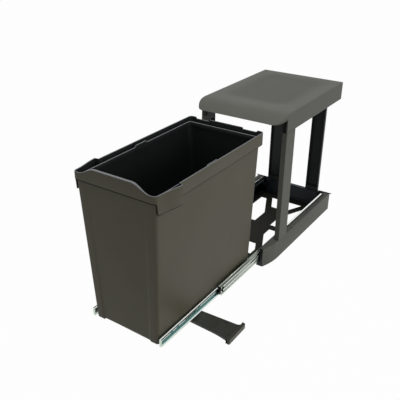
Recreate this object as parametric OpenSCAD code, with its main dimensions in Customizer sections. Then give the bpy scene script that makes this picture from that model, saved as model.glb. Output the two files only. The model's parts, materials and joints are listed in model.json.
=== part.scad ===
// Pull-out waste bin unit for a cabinet floor, drawn pulled fully out.
// X is across the unit, Y runs from the front (minus) to the back, Z is up from the cabinet floor.
// The origin is on the floor, at the middle of the screw pattern of the base frame.

/* [Base frame] */
// Width of the base frame and of the lid
frame_w = 248; // [236:1:280]
// Depth of the base frame, front to back
frame_d = 406; // [390:1:430]
// Height of the side covers and of the rear band
side_h = 53; // [51:1:65]
// Width of each side cover over the rail wall
band_w = 20.5; // [18:0.5:26]
// Wall thickness of the moulded frame
wall_t = 3; // [2:0.25:4]
// Thickness of the floor plate
floor_t = 3; // [2:0.25:3.5]
// How far the front end of a side cover curves inward
nose_in = 13; // [6:0.5:15]
// Length of the curved front end of a side cover
nose_len = 66; // [40:1:90]
// Thickness of the stiffening ribs inside a side cover
rib_t = 2; // [1.5:0.25:3]
// Spacing of those ribs
rib_pitch = 58; // [40:1:90]
// Depth of the hollow rear band that carries the rear posts
rear_band_d = 12; // [12:0.5:14]
// Half width of the rear band
rear_band_half = 88; // [86:1:89]
// Thickness of the rear band's front wall
rear_band_t = 2; // [1.5:0.25:2.5]
// Height of the step in front of the rear band
step_h = 12; // [8:1:14]
// Reach of the locating ears at the rear corners
ear_reach = 6; // [4:0.5:10]
// Setback of the floor plate from the front of the frame
floor_setback = 13; // [5:1:20]

/* [Floor cut-outs] */
// Middle of the cross web, from front to back
cross_y = -7.5; // [-20:0.5:5]
// Width of the cross web
cross_w = 21; // [14:1:30]
// Half width of the spine between the rear cells
spine_half = 25; // [20:1:34]
// Half width of the floor between the front cells
front_spine_half = 35; // [26:1:40]
// Half width over the outer edges of the cells
cell_half = 85; // [78:1:87]
// Sideways run of a slanted cell edge for each millimetre of depth
cell_slant = 0.46; // [0.35:0.01:0.5]
// Sideways width of the slanted webs
slant_web = 21; // [14:1:28]
// Rear edge of the rear side cells
rear_cell_y = 156; // [130:1:165]
// Length of the straight inner edge of the rear cells
rear_cell_run = 61; // [40:1:75]
// Front edge of the rear middle cell
rear_mid_y0 = 108; // [95:1:120]
// Rear edge of the rear middle cell
rear_mid_y1 = 170; // [150:1:172]
// Length of the straight inner edge of the front cells
front_cell_run = 34; // [20:1:45]
// Rear edge of the front middle cell
front_mid_y1 = -110; // [-125:1:-100]
// Corner of the front middle cell where its sides turn straight
front_mid_turn = -142; // [-150:1:-135]
// Front edge of the front middle cell
front_mid_y0 = -168; // [-170:1:-155]

/* [Floor screws] */
// Hole spacing across the unit
screw_dx = 80; // [60:1:100]
// Hole spacing along the unit
screw_dy = 364; // [356:1:366]
// Diameter of the floor screw holes
screw_hole_d = 4.5; // [3.5:0.1:5]
// Spacing of the outer holes on the cross web
cross_screw_dx = 64; // [50:1:80]

/* [Posts] */
// Width of a front post
front_post_w = 46; // [42:1:50]
// Setback of the front posts from the front of the frame
front_post_setback = 62; // [60:1:70]
// Depth of the channel section of the front posts
front_post_t = 13; // [11:0.5:14]
// Width of a rear post
rear_post_w = 40; // [34:1:44]
// Distance from the middle of the unit to the inner edge of a rear post
rear_post_x = 46; // [43:1:48]
// Depth of the channel section of the rear posts
rear_post_t = 9; // [8.5:0.5:9]
// Wall thickness of the posts
post_wall = 2.5; // [2:0.25:3]
// Height of the solid foot of each post
post_foot = 14; // [11:1:20]
// Spacing of the two screws in each post end
post_screw_pitch = 22; // [18:1:25]

/* [Lid] */
// Height of the unit to the top of the lid
overall_h = 403; // [395:1:420]
// Height of the lid's side skirt
skirt_h = 49; // [40:1:60]
// Thickness of the lid's skirt
skirt_t = 3; // [2:0.25:3.5]
// Thickness of the lid's top
lid_t = 4.5; // [3.5:0.25:6]
// Reach of the lid's lip in front of the front posts
lip_reach = 37; // [32:1:40]
// Length of the rounded front of the lid
lip_run = 54; // [40:1:60]
// Drop of the rounded front of the lid
lip_drop = 21; // [14:1:21]
// Sideways reach of the rounded front corners of the lid
lid_corner_w = 24; // [12:1:30]
// Length of those corners along the lid
lid_corner_l = 40; // [30:1:50]
// Rise of the lid's lower edge from the lip back to the front posts
cheek_rise = 8; // [4:0.5:10]
// Height of the front lid screws above the skirt's lower edge
lid_screw_rise = 18; // [12:1:24]
// Radius of the lid's upper edges along the sides and the back
lid_edge_r = 7; // [3:0.5:8]
// Distance from the middle to each of the buffers under the lip
nub_x = 92; // [60:1:94]
// Height of those buffers
nub_h = 1; // [0.5:0.25:1.25]
// Depth of the shallow dish in the lid's top
dish_depth = 2; // [1:0.25:2.25]
// Margin of the lid's top around that dish
dish_margin = 17; // [14:1:24]
// Run of the slope from the rim of the dish to its floor
dish_slope = 24; // [16:1:30]
// Corner radius of the rim of the dish
dish_r = 60; // [40:1:80]

/* [Screws and rivets] */
// Shank diameter of the post screws
post_screw_d = 3.5; // [3:0.1:4]
// Head diameter of the post screws
post_head_d = 6; // [5:0.5:6.5]
// Head height of the post screws
post_head_h = 2.4; // [2:0.1:3]
// Outside diameter of the screw bosses
boss_d = 8; // [7:0.5:9]
// Clearance around a boss or a screw shank
screw_clear = 0.2; // [0.1:0.05:0.4]
// Shank diameter of the rail screws
rail_screw_d = 3.2; // [2.5:0.1:4]
// Head diameter of the countersunk rail screws
rail_head_d = 6.4; // [5:0.1:7]
// Length of the rail screws
rail_screw_l = 9; // [6:0.5:12]
// Spacing of the rail screws
rail_screw_pitch = 150; // [120:1:165]
// Shank diameter of the strap rivets
rivet_d = 3.8; // [3:0.1:4.5]
// Head diameter of the strap rivets
rivet_head_d = 7; // [6:0.5:8]
// Head height of the strap rivets
rivet_head_h = 1.1; // [0.8:0.1:1.3]

/* [Ball slides] */
// Length of the outer and inner rails
slide_l = 400; // [380:1:402]
// Travel of the carriage
slide_travel = 412; // [380:1:420]
// Height of the middle of the slides above the cabinet floor
slide_z = 29; // [28:0.5:32]
// Height of the outer rail section
slide_h = 35; // [33:0.5:37]
// Sheet thickness of the outer rail
outer_t = 1.2; // [1:0.1:1.5]
// Sheet thickness of the middle and inner rails
rail_t = 1.1; // [1:0.1:1.3]
// Diameter of the balls
ball_d = 4; // [3.5:0.1:4.2]
// Radial clearance between a ball and its races
race_clear = 0.08; // [0.05:0.01:0.1]
// Slope of the middle rail's fold between its two races
fold_angle = 50; // [46:1:54]
// Half width of the slot between two races
race_gap = 0.6; // [0.55:0.05:0.7]
// Thickness of the ball cage strip
strip_t = 0.6; // [0.5:0.05:0.7]
// Thickness of the ball cage web
cage_t = 0.7; // [0.5:0.05:0.8]
// Running gap beside a cage web
cage_gap = 0.35; // [0.3:0.05:0.5]
// Length of the middle rail
middle_l = 370; // [350:1:372]
// Setback of the middle rail from the front of the frame when closed
middle_setback = 19; // [15:1:25]
// Distance from each end of a ball cage to the end of the rails' overlap
cage_end_gap = 16; // [12:1:24]
// Number of balls along each cage strip
ball_n = 7; // [4:1:9]
// Reach of the inner rail in front of the frame when closed
tip_reach = 3; // [0:0.5:5]
// Running gap at the closing stops and other buffers
stop_gap = 0.3; // [0.2:0.05:0.5]

/* [Carriage] */
// Sheet thickness of the straps under the bin
strap_t = 2; // [1.5:0.25:2]
// Underside of the straps above the cabinet floor
strap_z = 16.3; // [16:0.1:17]
// Height of the strap's side flanges
strap_flange_h = 20; // [18:1:22]
// Width of the front and rear straps
strap_w = 40; // [30:1:50]
// Width of the arm bracket
bracket_w = 70; // [50:1:80]
// Front strap's middle, behind the inner rail's tip
front_strap_y = 53; // [40:1:65]
// Rear strap's middle, behind the inner rail's tip
rear_strap_y = 338; // [320:1:360]
// Spacing of the rivets on each strap flange
rivet_pitch = 22; // [18:1:26]

/* [Bin] */
// Length of the bin over its collar
bin_l = 409; // [396:1:412]
// Width of the bin over its collar
collar_w = 208; // [200:1:210]
// Reach of the collar in front of the inner rail's tip
bin_reach = 13; // [8:1:16]
// Width of the bin at its bottom
bottom_w = 174; // [164:1:175]
// Height of the collar's top above the cabinet floor
collar_z = 380; // [360:1:381]
// Height of the collar
collar_h = 31; // [24:1:36]
// Sheet thickness of the bin and of its collar
bin_wall = 2.3; // [1.8:0.1:3]
// Distance from the collar's outer face to the body at the sides
collar_side_gap = 3.5; // [3.25:0.25:7]
// Distance from the collar's outer face to the body at the front
collar_front_gap = 3.5; // [3.25:0.25:7]
// Distance from the collar's outer face to the body at the back
collar_rear_gap = 12; // [10:0.5:16]
// Lean of the body's front wall, from its foot to the collar
front_lean = 10; // [4:0.5:14]
// Distance from the collar's outer face to the inner rim at the sides
rim_side_gap = 8; // [7:0.5:9]
// Distance from the collar's outer face to the inner rim at the front
rim_front_gap = 11; // [9:0.5:13]
// Distance from the collar's outer face to the inner rim at the back
rim_rear_gap = 16; // [13:0.5:18]
// Extra thickness of the front edge along its hump
hump_ledge = 3; // [1:0.25:4]
// Drop from the collar's top to the inner rim
rim_drop = 8; // [6:0.5:10]
// Drop from the inner rim to the channel behind the collar
channel_drop = 7.5; // [5:0.5:9]
// Rise of the hump on the front edge above the collar
hump_rise = 15; // [8:0.5:16]
// Half width of the hump's flat top
hump_half = 46; // [34:1:50]
// Half width where the hump has run out
hump_end = 90; // [84:1:92]
// How far the ends of the front band flare outward
flare_out = 9; // [6:0.5:10]
// Distance from the front of the bin to the end of the flare
flare_end = 67; // [60:1:70]
// Rise of the front band's lower edge above that of the side collar
front_band_rise = 9.5; // [6:0.5:12]
// Drop of the front band's lower edge at the flare, below the side collar
flare_drop = 11; // [6:0.5:14]
// Drop of the rear collar between its raised tab and corners
rear_dip = 4; // [2:0.5:6]
// Half width of the raised tab on the rear collar
rear_tab_half = 46; // [36:1:56]
// Corner radius of the bin's body
bin_r = 7; // [5:0.5:9]
// Half width between the front feet, as measured on the collar
foot_run = 78; // [70:1:82]
// Length of a corner foot along the side
foot_len = 14; // [8:1:18]
// Height of the bin's corner feet
foot_h = 3; // [2:0.5:4]
// Recess of the front panel at the bottom
panel_in = 1.5; // [1:0.25:2]

/* [Door arm] */
// Distance from the middle of the unit to the arm's pivot
arm_pivot_x = 50; // [40:1:55]
// Arm's pivot, behind the inner rail's tip
arm_pivot_y = 137; // [125:1:150]
// Distance from the pivot to the outer face of the arm's head
arm_l = 151; // [140:1:154]
// Underside of the arm above the cabinet floor
arm_z = 6; // [5.8:0.1:6.5]
// Thickness of the arm
arm_t = 6; // [4:0.25:6.5]
// Width of the arm at its pivot
arm_root_w = 39; // [32:1:44]
// Width of the arm at its head
arm_end_w = 52; // [44:1:56]
// Width of the arm's head
head_w = 70; // [62:1:76]
// Thickness of the arm's head
head_t = 8; // [6:0.5:10]
// Underside of the arm's head above the cabinet floor
head_z = 4; // [3.8:0.1:4.5]
// Height of the arm's head
head_h = 11.5; // [10:0.25:11.8]
// Depth of the recess on top of the arm
recess_d = 2; // [1:0.25:3]
// Width of the border around the recess
border_w = 5; // [4:0.5:7]
// Spacing of the door screw holes in the head
door_screw_pitch = 44; // [36:1:52]
// Diameter of the door screw pilot holes
door_hole_d = 3.2; // [2.5:0.1:3.6]
// Depth of the door screw pilot holes
door_hole_l = 12; // [9:0.5:14]
// Diameter of the pivot pin
pin_d = 8; // [6:0.25:10]
// Radial clearance of the pivot pin in the arm
pin_clear = 0.05; // [0.02:0.01:0.1]
// Diameter of the pin's head
pin_head_d = 14; // [12:0.5:18]
// Height of the pin's head
pin_head_h = 1.6; // [1.2:0.1:1.7]
// Thickness of the washer between arm and bracket
washer_t = 1; // [0.8:0.1:1.5]

/* [Hidden] */
$fn = 48;
eps = 0.01;
front_y = -frame_d / 2;
rear_y = frame_d / 2;
half_w = frame_w / 2;
charcoal = "#54554f";
black_plastic = "#232523";
zinc = "#c3cbc4";

// Slide section, measured inward (u) and upward (w) from the middle of the outer rail's back
rail_x = half_w - band_w;
race_r = ball_d / 2 + race_clear;
outer_u = outer_t + 2 * cage_gap + cage_t + rail_t + race_r;
outer_w = slide_h / 2 - outer_t - race_r;
fold_l = 2 * race_r + rail_t;
inner_u = outer_u + fold_l * cos(fold_angle);
inner_w = outer_w - fold_l * sin(fold_angle);
slot_angle = asin(race_gap / race_r);
middle_web_u = outer_u - race_r - rail_t;
inner_web_u = inner_u + race_r;
inner_cage_u = middle_web_u + rail_t + 2 * cage_gap;

// Places along the slides, with the carriage pulled out
outer_rail_y = front_y + 1;
inner_rail_y = front_y - tip_reach - slide_travel;
middle_rail_y = front_y + middle_setback - slide_travel / 2;
outer_cage_y = outer_rail_y + cage_end_gap;
outer_cage_l = middle_rail_y + middle_l - outer_rail_y - 2 * cage_end_gap;
inner_cage_y = middle_rail_y + cage_end_gap;
inner_cage_l = inner_rail_y + slide_l - middle_rail_y - 2 * cage_end_gap;
closed_tail_y = inner_rail_y + slide_l + slide_travel;
rail_screw_ys = [for (i = [-1:1]) outer_rail_y + slide_l / 2 + i * rail_screw_pitch];

// Posts and lid
front_post_y = front_y + front_post_setback;
front_post_my = front_post_y + front_post_w / 2;
rear_post_mx = rear_post_x + rear_post_w / 2;
rear_skirt_y = rear_y - skirt_t;
front_screw_x = half_w - wall_t - post_head_d / 2 - screw_clear;
rear_screw_y = rear_y - wall_t - post_head_d / 2 - screw_clear;
skirt_z = overall_h - skirt_h;
lip_y = front_post_y - lip_reach;
lip_z = overall_h - lip_drop;
lip_r = (lip_run * lip_run + lip_drop * lip_drop) / (2 * lip_drop);
lip_angle = asin(lip_run / lip_r);
lid_under_z = overall_h - lid_t;
post_top_z = lid_under_z - 1;
front_lid_screw_z = skirt_z + lid_screw_rise;
rear_lid_screw_z = post_top_z - boss_d / 2 - 3;
lip_start_y = lip_y + lip_run;
front_tongue_z = overall_h - lip_r - 1
    + sqrt(pow(lip_r - lid_t, 2) - pow(max(0, lip_start_y - front_post_y), 2));

// Carriage
strap_x = rail_x - inner_web_u - rail_t;
bin_z = strap_z + strap_t;
strap_ys = [inner_rail_y + front_strap_y, inner_rail_y + rear_strap_y, inner_rail_y + arm_pivot_y];
arm_y = inner_rail_y + arm_pivot_y;
boss_bottom_z = arm_z + arm_t + washer_t + 2 * race_clear;
pivot_boss_d = pin_d + 14;

// Bin
collar_front = inner_rail_y - bin_reach;
collar_rear = collar_front + bin_l;
collar_half = collar_w / 2;
collar_r = bin_r + 2;
rim_z = collar_z - rim_drop;
channel_z = rim_z - channel_drop;
collar_low_z = collar_z - collar_h;
front_low_z = collar_low_z + front_band_rise;
front_corner_z = collar_z;
flare_y = collar_front + flare_end;
body_top_half = collar_half - collar_side_gap;
bottom_half = bottom_w / 2;

// Shared shapes

// Copies its child to both sides of the unit
module both_sides() {
    children();
    mirror([1, 0, 0]) children();
}

// Extrudes an X-Z outline from y0 over a length along Y
module along_y(y0, length) {
    translate([0, y0 + length, 0]) rotate([90, 0, 0]) linear_extrude(length) children();
}

// Extrudes a Y-Z outline from x0 over a length along X
module along_x(x0, length) {
    translate([x0, 0, 0]) rotate([90, 0, 90]) linear_extrude(length) children();
}

// Block between two corners
module block(low, high) {
    translate(low) cube(high - low);
}

// Cylinder from a point along X
module peg_x(at, d, length) {
    translate(at) rotate([0, 90, 0]) cylinder(d = d, h = length);
}

// Cylinder from a point along Y
module peg_y(at, d, length) {
    translate(at) rotate([-90, 0, 0]) cylinder(d = d, h = length);
}

// Part of a ring between two angles
module ring_part(r0, r1, a0, a1) {
    intersection() {
        difference() {
            circle(r1);
            circle(r0);
        }
        polygon(concat([[0, 0]], [for (i = [0:4]) let (a = a0 + (a1 - a0) * i / 4) 2 * r1 * [cos(a), sin(a)]]));
    }
}

// Base frame

// Plan of the right side cover from x0 outward, drawn in by a wall thickness for its hollow
module cover_plan(x0, inset) {
    turn_y = front_y + nose_len;
    nose_r = (nose_len * nose_len + nose_in * nose_in) / (2 * nose_in);
    w = half_w - inset - x0;
    translate([x0, turn_y]) square([w, rear_y - wall_t - inset - turn_y]);
    intersection() {
        translate([x0, front_y + inset]) square([w, nose_len - inset + eps]);
        translate([half_w - nose_r, turn_y]) circle(nose_r - inset, $fn = 180);
    }
}

// Side cover that laps over the rail wall, open underneath and towards that wall, with cross ribs
module side_cover() {
    wall_x = rail_x + wall_t;
    hollow_h = side_h - wall_t;
    color(charcoal) difference() {
        linear_extrude(side_h) cover_plan(rail_x, 0);
        block([rail_x - 1, front_y + wall_t, -1], [wall_x, rear_y, hollow_h]);
        difference() {
            translate([0, 0, -1]) linear_extrude(hollow_h + 1) cover_plan(wall_x - 1, wall_t);
            for (y = [rib_pitch:rib_pitch:frame_d - rib_pitch / 2])
                block([wall_x, front_y + y - rib_t / 2, 0], [half_w, front_y + y + rib_t / 2, hollow_h + 1]);
            for (y = rail_screw_ys) peg_x([wall_x, y, slide_z], boss_d, band_w);
        }
        for (y = rail_screw_ys) peg_x([wall_x - 1, y, slide_z], rail_screw_d, rail_screw_l - wall_t + 1);
        for (y = [-1, 1] * post_screw_pitch / 2)
            translate([front_screw_x, front_post_my + y, hollow_h - 1])
                cylinder(d = post_screw_d + 2 * screw_clear, h = wall_t + 2);
    }
}

module side_cover_right() { side_cover(); }
module side_cover_left() { mirror([1, 0, 0]) side_cover(); }

// One honeycomb cell on the right of the floor's rear half
module rear_side_cell() {
    y0 = cross_y + cross_w / 2;
    y1 = y0 + rear_cell_run;
    polygon([
        [spine_half, y0], [cell_half, y0], [cell_half, rear_cell_y],
        [min(cell_half, spine_half + cell_slant * (rear_cell_y - y1)), rear_cell_y], [spine_half, y1]
    ]);
}

// Trapezoid cell in the middle of the rear half
module rear_middle_cell() {
    y1 = cross_y + cross_w / 2 + rear_cell_run;
    h0 = spine_half + cell_slant * (rear_mid_y0 - y1) - slant_web;
    h1 = spine_half + cell_slant * (rear_mid_y1 - y1) - slant_web;
    polygon([[-h0, rear_mid_y0], [h0, rear_mid_y0], [h1, rear_mid_y1], [-h1, rear_mid_y1]]);
}

// One cell on the right of the front half
module front_side_cell() {
    y1 = cross_y - cross_w / 2;
    y0 = y1 - front_cell_run;
    polygon([
        [front_spine_half, y1], [cell_half, y1],
        [cell_half, y0 - (cell_half - front_spine_half) / cell_slant], [front_spine_half, y0]
    ]);
}

// Hexagonal cell in the middle of the front half
module front_middle_cell() {
    y0 = cross_y - cross_w / 2 - front_cell_run;
    h1 = front_spine_half + cell_slant * (y0 - front_mid_y1) - slant_web;
    h0 = front_spine_half + cell_slant * (y0 - front_mid_turn) - slant_web;
    polygon([
        [-h1, front_mid_y1], [-h0, front_mid_turn], [-h0, front_mid_y0],
        [h0, front_mid_y0], [h0, front_mid_turn], [h1, front_mid_y1]
    ]);
}

module floor_plate() {
    difference() {
        translate([-rail_x - wall_t, front_y + floor_setback, 0])
            cube([2 * (rail_x + wall_t), frame_d - floor_setback - wall_t, floor_t]);
        translate([0, 0, -eps]) linear_extrude(floor_t + 2 * eps) {
            both_sides() {
                rear_side_cell();
                front_side_cell();
            }
            rear_middle_cell();
            front_middle_cell();
        }
        for (x = [-1, 1] * screw_dx / 2, y = [-1, 1] * screw_dy / 2)
            translate([x, y, -eps]) cylinder(d = screw_hole_d, h = floor_t + 2 * eps);
        for (x = [-1, 0, 1] * cross_screw_dx / 2)
            translate([x, cross_y, -eps]) cylinder(d = screw_hole_d, h = floor_t + 2 * eps);
    }
}

// Upright wall on the right that carries a slide
module rail_wall() {
    difference() {
        block([rail_x, front_y + wall_t, 0], [rail_x + wall_t, rear_y, side_h - wall_t]);
        for (y = rail_screw_ys) peg_x([rail_x - 1, y, slide_z], rail_screw_d, wall_t + 2);
    }
}

// Rear wall with the band that carries the rear posts, and the locating ears at its ends
module rear_band() {
    band_y = rear_y - rear_band_d;
    block([-half_w, rear_y - wall_t, 0], [half_w, rear_y, side_h]);
    block([-rear_band_half, band_y, 0], [rear_band_half, rear_y, side_h]);
    block([-rear_band_half, band_y - 2, 0], [rear_band_half, band_y + 1, step_h]);
    both_sides() block([rear_band_half + 2, rear_y - wall_t, side_h - eps],
                       [half_w + ear_reach, rear_y, side_h + 1.5]);
}

module base_tray() {
    color(charcoal) difference() {
        union() {
            floor_plate();
            both_sides() rail_wall();
            rear_band();
        }
        block([-rear_band_half + wall_t, rear_y - rear_band_d + rear_band_t, -1],
              [rear_band_half - wall_t, rear_y - wall_t, side_h - wall_t]);
        both_sides() for (x = [-1, 1] * post_screw_pitch / 2)
            translate([rear_post_mx + x, rear_screw_y, side_h - wall_t - 1])
                cylinder(d = post_screw_d + 2 * screw_clear, h = wall_t + 2);
    }
}

// Posts

// Upright on the right, a channel whose flat outer face is flush with the frame and the lid
module front_post() {
    x0 = half_w - front_post_t;
    tongue_x = half_w - skirt_t;
    inset = post_wall + 0.5;
    color(charcoal) difference() {
        union() {
            block([x0, front_post_y, side_h], [half_w, front_post_y + front_post_w, skirt_z]);
            block([x0, front_post_y + 0.5, skirt_z - eps],
                  [tongue_x, front_post_y + front_post_w - inset, front_tongue_z]);
        }
        block([x0 - eps, front_post_y + post_wall, side_h + post_foot],
              [half_w - post_wall, front_post_y + front_post_w - post_wall, skirt_z - post_foot]);
        for (y = [-1, 1] * post_screw_pitch / 2) {
            translate([front_screw_x, front_post_my + y, side_h - eps])
                cylinder(d = post_screw_d, h = post_foot - 2);
            peg_x([x0 - eps, front_post_my + y, front_lid_screw_z], boss_d + 2 * screw_clear, front_post_t);
        }
    }
}

// Upright at the back right, a channel that is open to the front and flush with the rear of the frame
module rear_post() {
    y0 = rear_y - rear_post_t;
    x1 = rear_post_x + rear_post_w;
    color(black_plastic) difference() {
        union() {
            block([rear_post_x, y0, side_h], [x1, rear_y, skirt_z]);
            block([rear_post_x + 0.5, y0, skirt_z - eps], [x1 - 0.5, rear_skirt_y, post_top_z]);
        }
        block([rear_post_x + post_wall, y0 - 1, side_h + post_foot],
              [x1 - post_wall, rear_y - post_wall, skirt_z - post_foot]);
        for (x = [-1, 1] * post_screw_pitch / 2) {
            translate([rear_post_mx + x, rear_screw_y, side_h - eps])
                cylinder(d = post_screw_d, h = post_foot - 2);
            peg_y([rear_post_mx + x, y0 - eps, rear_lid_screw_z], boss_d + 2 * screw_clear, rear_post_t);
        }
    }
}

module front_post_right() { front_post(); }
module front_post_left() { mirror([1, 0, 0]) front_post(); }
module rear_post_right() { rear_post(); }
module rear_post_left() { mirror([1, 0, 0]) rear_post(); }

// Pan head screw up through the frame into the foot of a post
module post_screw() {
    translate([0, 0, side_h - wall_t - post_head_h]) cylinder(d = post_head_d, h = post_head_h);
    translate([0, 0, side_h - wall_t - eps]) cylinder(d = post_screw_d, h = wall_t + post_foot - 3);
}

module post_screws() {
    color(zinc) both_sides() for (s = [-1, 1] * post_screw_pitch / 2) {
        translate([front_screw_x, front_post_my + s, 0]) post_screw();
        translate([rear_post_mx + s, rear_screw_y, 0]) post_screw();
    }
}

// Lid

// Side outline of the lid's outside, or of its hollow when drawn in by a wall
function lid_profile(inset, drop, edge_r) =
    let (cy = lip_y + lip_run, cz = overall_h - lip_r, r = lip_r - drop,
         ey = rear_y - inset - edge_r, ez = overall_h - drop - edge_r)
    concat(
        [[rear_y - inset, skirt_z - 1]],
        edge_r == 0 ? [[ey, ez]] :
            [for (i = [0:6]) let (a = 15 * i) [ey + edge_r * cos(a), ez + edge_r * sin(a)]],
        [for (i = [0:12]) let (a = lip_angle * i / 12) [cy - r * sin(a), cz + r * cos(a)]],
        [[cy - r * sin(lip_angle), skirt_z - 1]]
    );

// Outline of the lid across the unit, with rounded upper edges
module lid_cross() {
    r = lid_edge_r;
    translate([-half_w, skirt_z]) square([frame_w, skirt_h - r]);
    translate([r - half_w, skirt_z]) square([frame_w - 2 * r, skirt_h]);
    for (x = [-1, 1] * (half_w - r)) translate([x, overall_h - r]) circle(r);
}

module lid_plan() {
    w = lid_corner_w;
    l = lid_corner_l;
    translate([-half_w, lip_y + l]) square([frame_w, rear_y - lip_y - l]);
    translate([w - half_w, lip_y]) square([frame_w - 2 * w, 2 * l]);
    for (x = [-1, 1] * (half_w - w)) translate([x, lip_y + l]) scale([w / l, 1]) circle(l);
}

// Hollow of the shallow dish, with sloping sides
module lid_dish() {
    x = half_w - dish_margin - dish_r;
    y0 = lip_start_y + dish_margin + dish_r;
    y1 = rear_y - dish_margin - dish_r;
    hull() for (cx = [-x, x], cy = [y0, y1]) translate([cx, cy, overall_h - dish_depth])
        cylinder(r1 = dish_r - dish_slope, r2 = dish_r, h = dish_depth + eps);
}

// Space under the lip and ahead of the front posts
module under_lip() {
    along_x(-half_w - 1, frame_w + 2) polygon([
        [front_post_y, skirt_z - 1], [front_post_y, lip_z + cheek_rise], [lip_y, lip_z],
        [lip_y - 1, lip_z], [lip_y - 1, skirt_z - 1]
    ]);
}

module lid_bosses() {
    both_sides() for (s = [-1, 1] * post_screw_pitch / 2) {
        peg_x([half_w - front_post_t, front_post_my + s, front_lid_screw_z], boss_d,
              front_post_t - skirt_t + 1);
        peg_y([rear_post_mx + s, rear_y - rear_post_t, rear_lid_screw_z], boss_d, rear_post_t - 1);
    }
}

module lid() {
    color(charcoal) difference() {
        union() {
            difference() {
                intersection() {
                    along_x(-half_w - 1, frame_w + 2) polygon(lid_profile(0, 0, lid_edge_r));
                    translate([0, 0, skirt_z - 1]) linear_extrude(skirt_h + 2) lid_plan();
                    along_y(lip_y - 1, rear_y - lip_y + 2) lid_cross();
                }
                along_x(skirt_t - half_w, frame_w - 2 * skirt_t) polygon(lid_profile(skirt_t, lid_t, 0));
                under_lip();
                lid_dish();
            }
            lid_bosses();
            both_sides() translate([nub_x, lip_y + 2.2, lip_z - nub_h]) cylinder(d = 3, h = nub_h + 1);
        }
        both_sides() for (s = [-1, 1] * post_screw_pitch / 2) {
            peg_x([half_w - front_post_t - eps, front_post_my + s, front_lid_screw_z], post_screw_d,
                  front_post_t - 1.5);
            peg_y([rear_post_mx + s, rear_y - rear_post_t - eps, rear_lid_screw_z], post_screw_d,
                  rear_post_t - 1.5);
        }
    }
}

module lid_screws() {
    color(zinc) both_sides() for (s = [-1, 1] * post_screw_pitch / 2) {
        peg_x([half_w - front_post_t - post_head_h, front_post_my + s, front_lid_screw_z],
              boss_d + 2, post_head_h);
        peg_x([half_w - front_post_t - eps, front_post_my + s, front_lid_screw_z], post_screw_d,
              front_post_t - 2);
        peg_y([rear_post_mx + s, rear_y - rear_post_t - post_head_h, rear_lid_screw_z],
              boss_d + 2, post_head_h);
        peg_y([rear_post_mx + s, rear_y - rear_post_t - eps, rear_lid_screw_z], post_screw_d,
              rear_post_t - 2);
    }
}

// Ball slides

// Places a slide section on the right, from y0 over a length
module slide_run(y0, length) {
    along_y(y0, length) translate([rail_x, slide_z]) mirror([1, 0]) children();
}

// Copies the upper half of a slide section below its middle
module upper_and_lower() {
    children();
    mirror([0, 1]) children();
}

module outer_section() {
    translate([0, -slide_h / 2]) square([outer_t, slide_h]);
    upper_and_lower() {
        translate([0, slide_h / 2 - outer_t]) square([outer_u, outer_t]);
        translate([outer_u, outer_w]) ring_part(race_r, race_r + outer_t, slot_angle, 91);
    }
}

module middle_section() {
    web_half = outer_w - race_gap;
    translate([middle_web_u, -web_half]) square([rail_t, 2 * web_half]);
    upper_and_lower() {
        translate([outer_u, outer_w]) ring_part(race_r, race_r + rail_t, 180 + slot_angle, 361 - fold_angle);
        translate([inner_u, inner_w]) ring_part(race_r, race_r + rail_t, slot_angle, 181 - fold_angle);
    }
}

module inner_section() {
    web_half = inner_w - race_gap;
    translate([inner_web_u, -web_half]) square([rail_t, 2 * web_half]);
    upper_and_lower() translate([inner_u, inner_w])
        ring_part(race_r, race_r + rail_t, 180 + slot_angle, 360 - slot_angle);
}

module outer_rail() {
    color(zinc) difference() {
        slide_run(outer_rail_y, slide_l) outer_section();
        for (y = rail_screw_ys) translate([rail_x, y, slide_z]) rotate([0, -90, 0])
            translate([0, 0, -eps]) cylinder(d1 = rail_screw_d, d2 = rail_head_d, h = outer_t + 2 * eps);
    }
}

module middle_rail() {
    color(zinc) slide_run(middle_rail_y, middle_l) middle_section();
}

module inner_rail() {
    color(zinc) difference() {
        slide_run(inner_rail_y, slide_l) inner_section();
        for (y = strap_ys, s = [-1, 1] * rivet_pitch / 2)
            peg_x([strap_x - 1, y + s, slide_z], rivet_d, rail_t + 2);
    }
}

// Ball cage: a web with two strips that hold the balls between the races
module cage(web_u, row_u, row_w, strip_end, y0, length) {
    color(zinc) difference() {
        slide_run(y0, length) difference() {
            translate([web_u, -row_w - strip_t / 2]) square([strip_end - web_u, 2 * row_w + strip_t]);
            translate([web_u + cage_t, strip_t / 2 - row_w]) square([strip_end, 2 * row_w - strip_t]);
        }
        for (i = [0:ball_n - 1], s = [-1, 1])
            translate([rail_x - row_u, ball_y(y0, length, i), slide_z + s * row_w - 1])
                cylinder(d = ball_d + 2 * race_clear, h = 2);
    }
}

function ball_y(y0, length, i) = y0 + length * (i + 0.5) / ball_n;

module ball_rows(row_u, row_w, y0, length) {
    color(zinc) for (i = [0:ball_n - 1], s = [-1, 1])
        translate([rail_x - row_u, ball_y(y0, length, i), slide_z + s * row_w]) sphere(d = ball_d);
}

module outer_cage() {
    cage(outer_t + cage_gap, outer_u, outer_w, outer_u + race_r + outer_t, outer_cage_y, outer_cage_l);
}

module inner_cage() {
    cage(inner_cage_u, inner_u, inner_w, inner_web_u - cage_gap, inner_cage_y, inner_cage_l);
}

// Plastic stop on the front end of the middle rail
module middle_stop() {
    stop_half = inner_w - race_r - rail_t - 1;
    u0 = middle_web_u + rail_t;
    color(black_plastic) slide_run(middle_rail_y - 4, 12)
        translate([u0, -stop_half]) square([inner_u - race_r - rail_t - stop_gap - u0, 2 * stop_half]);
}

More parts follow.
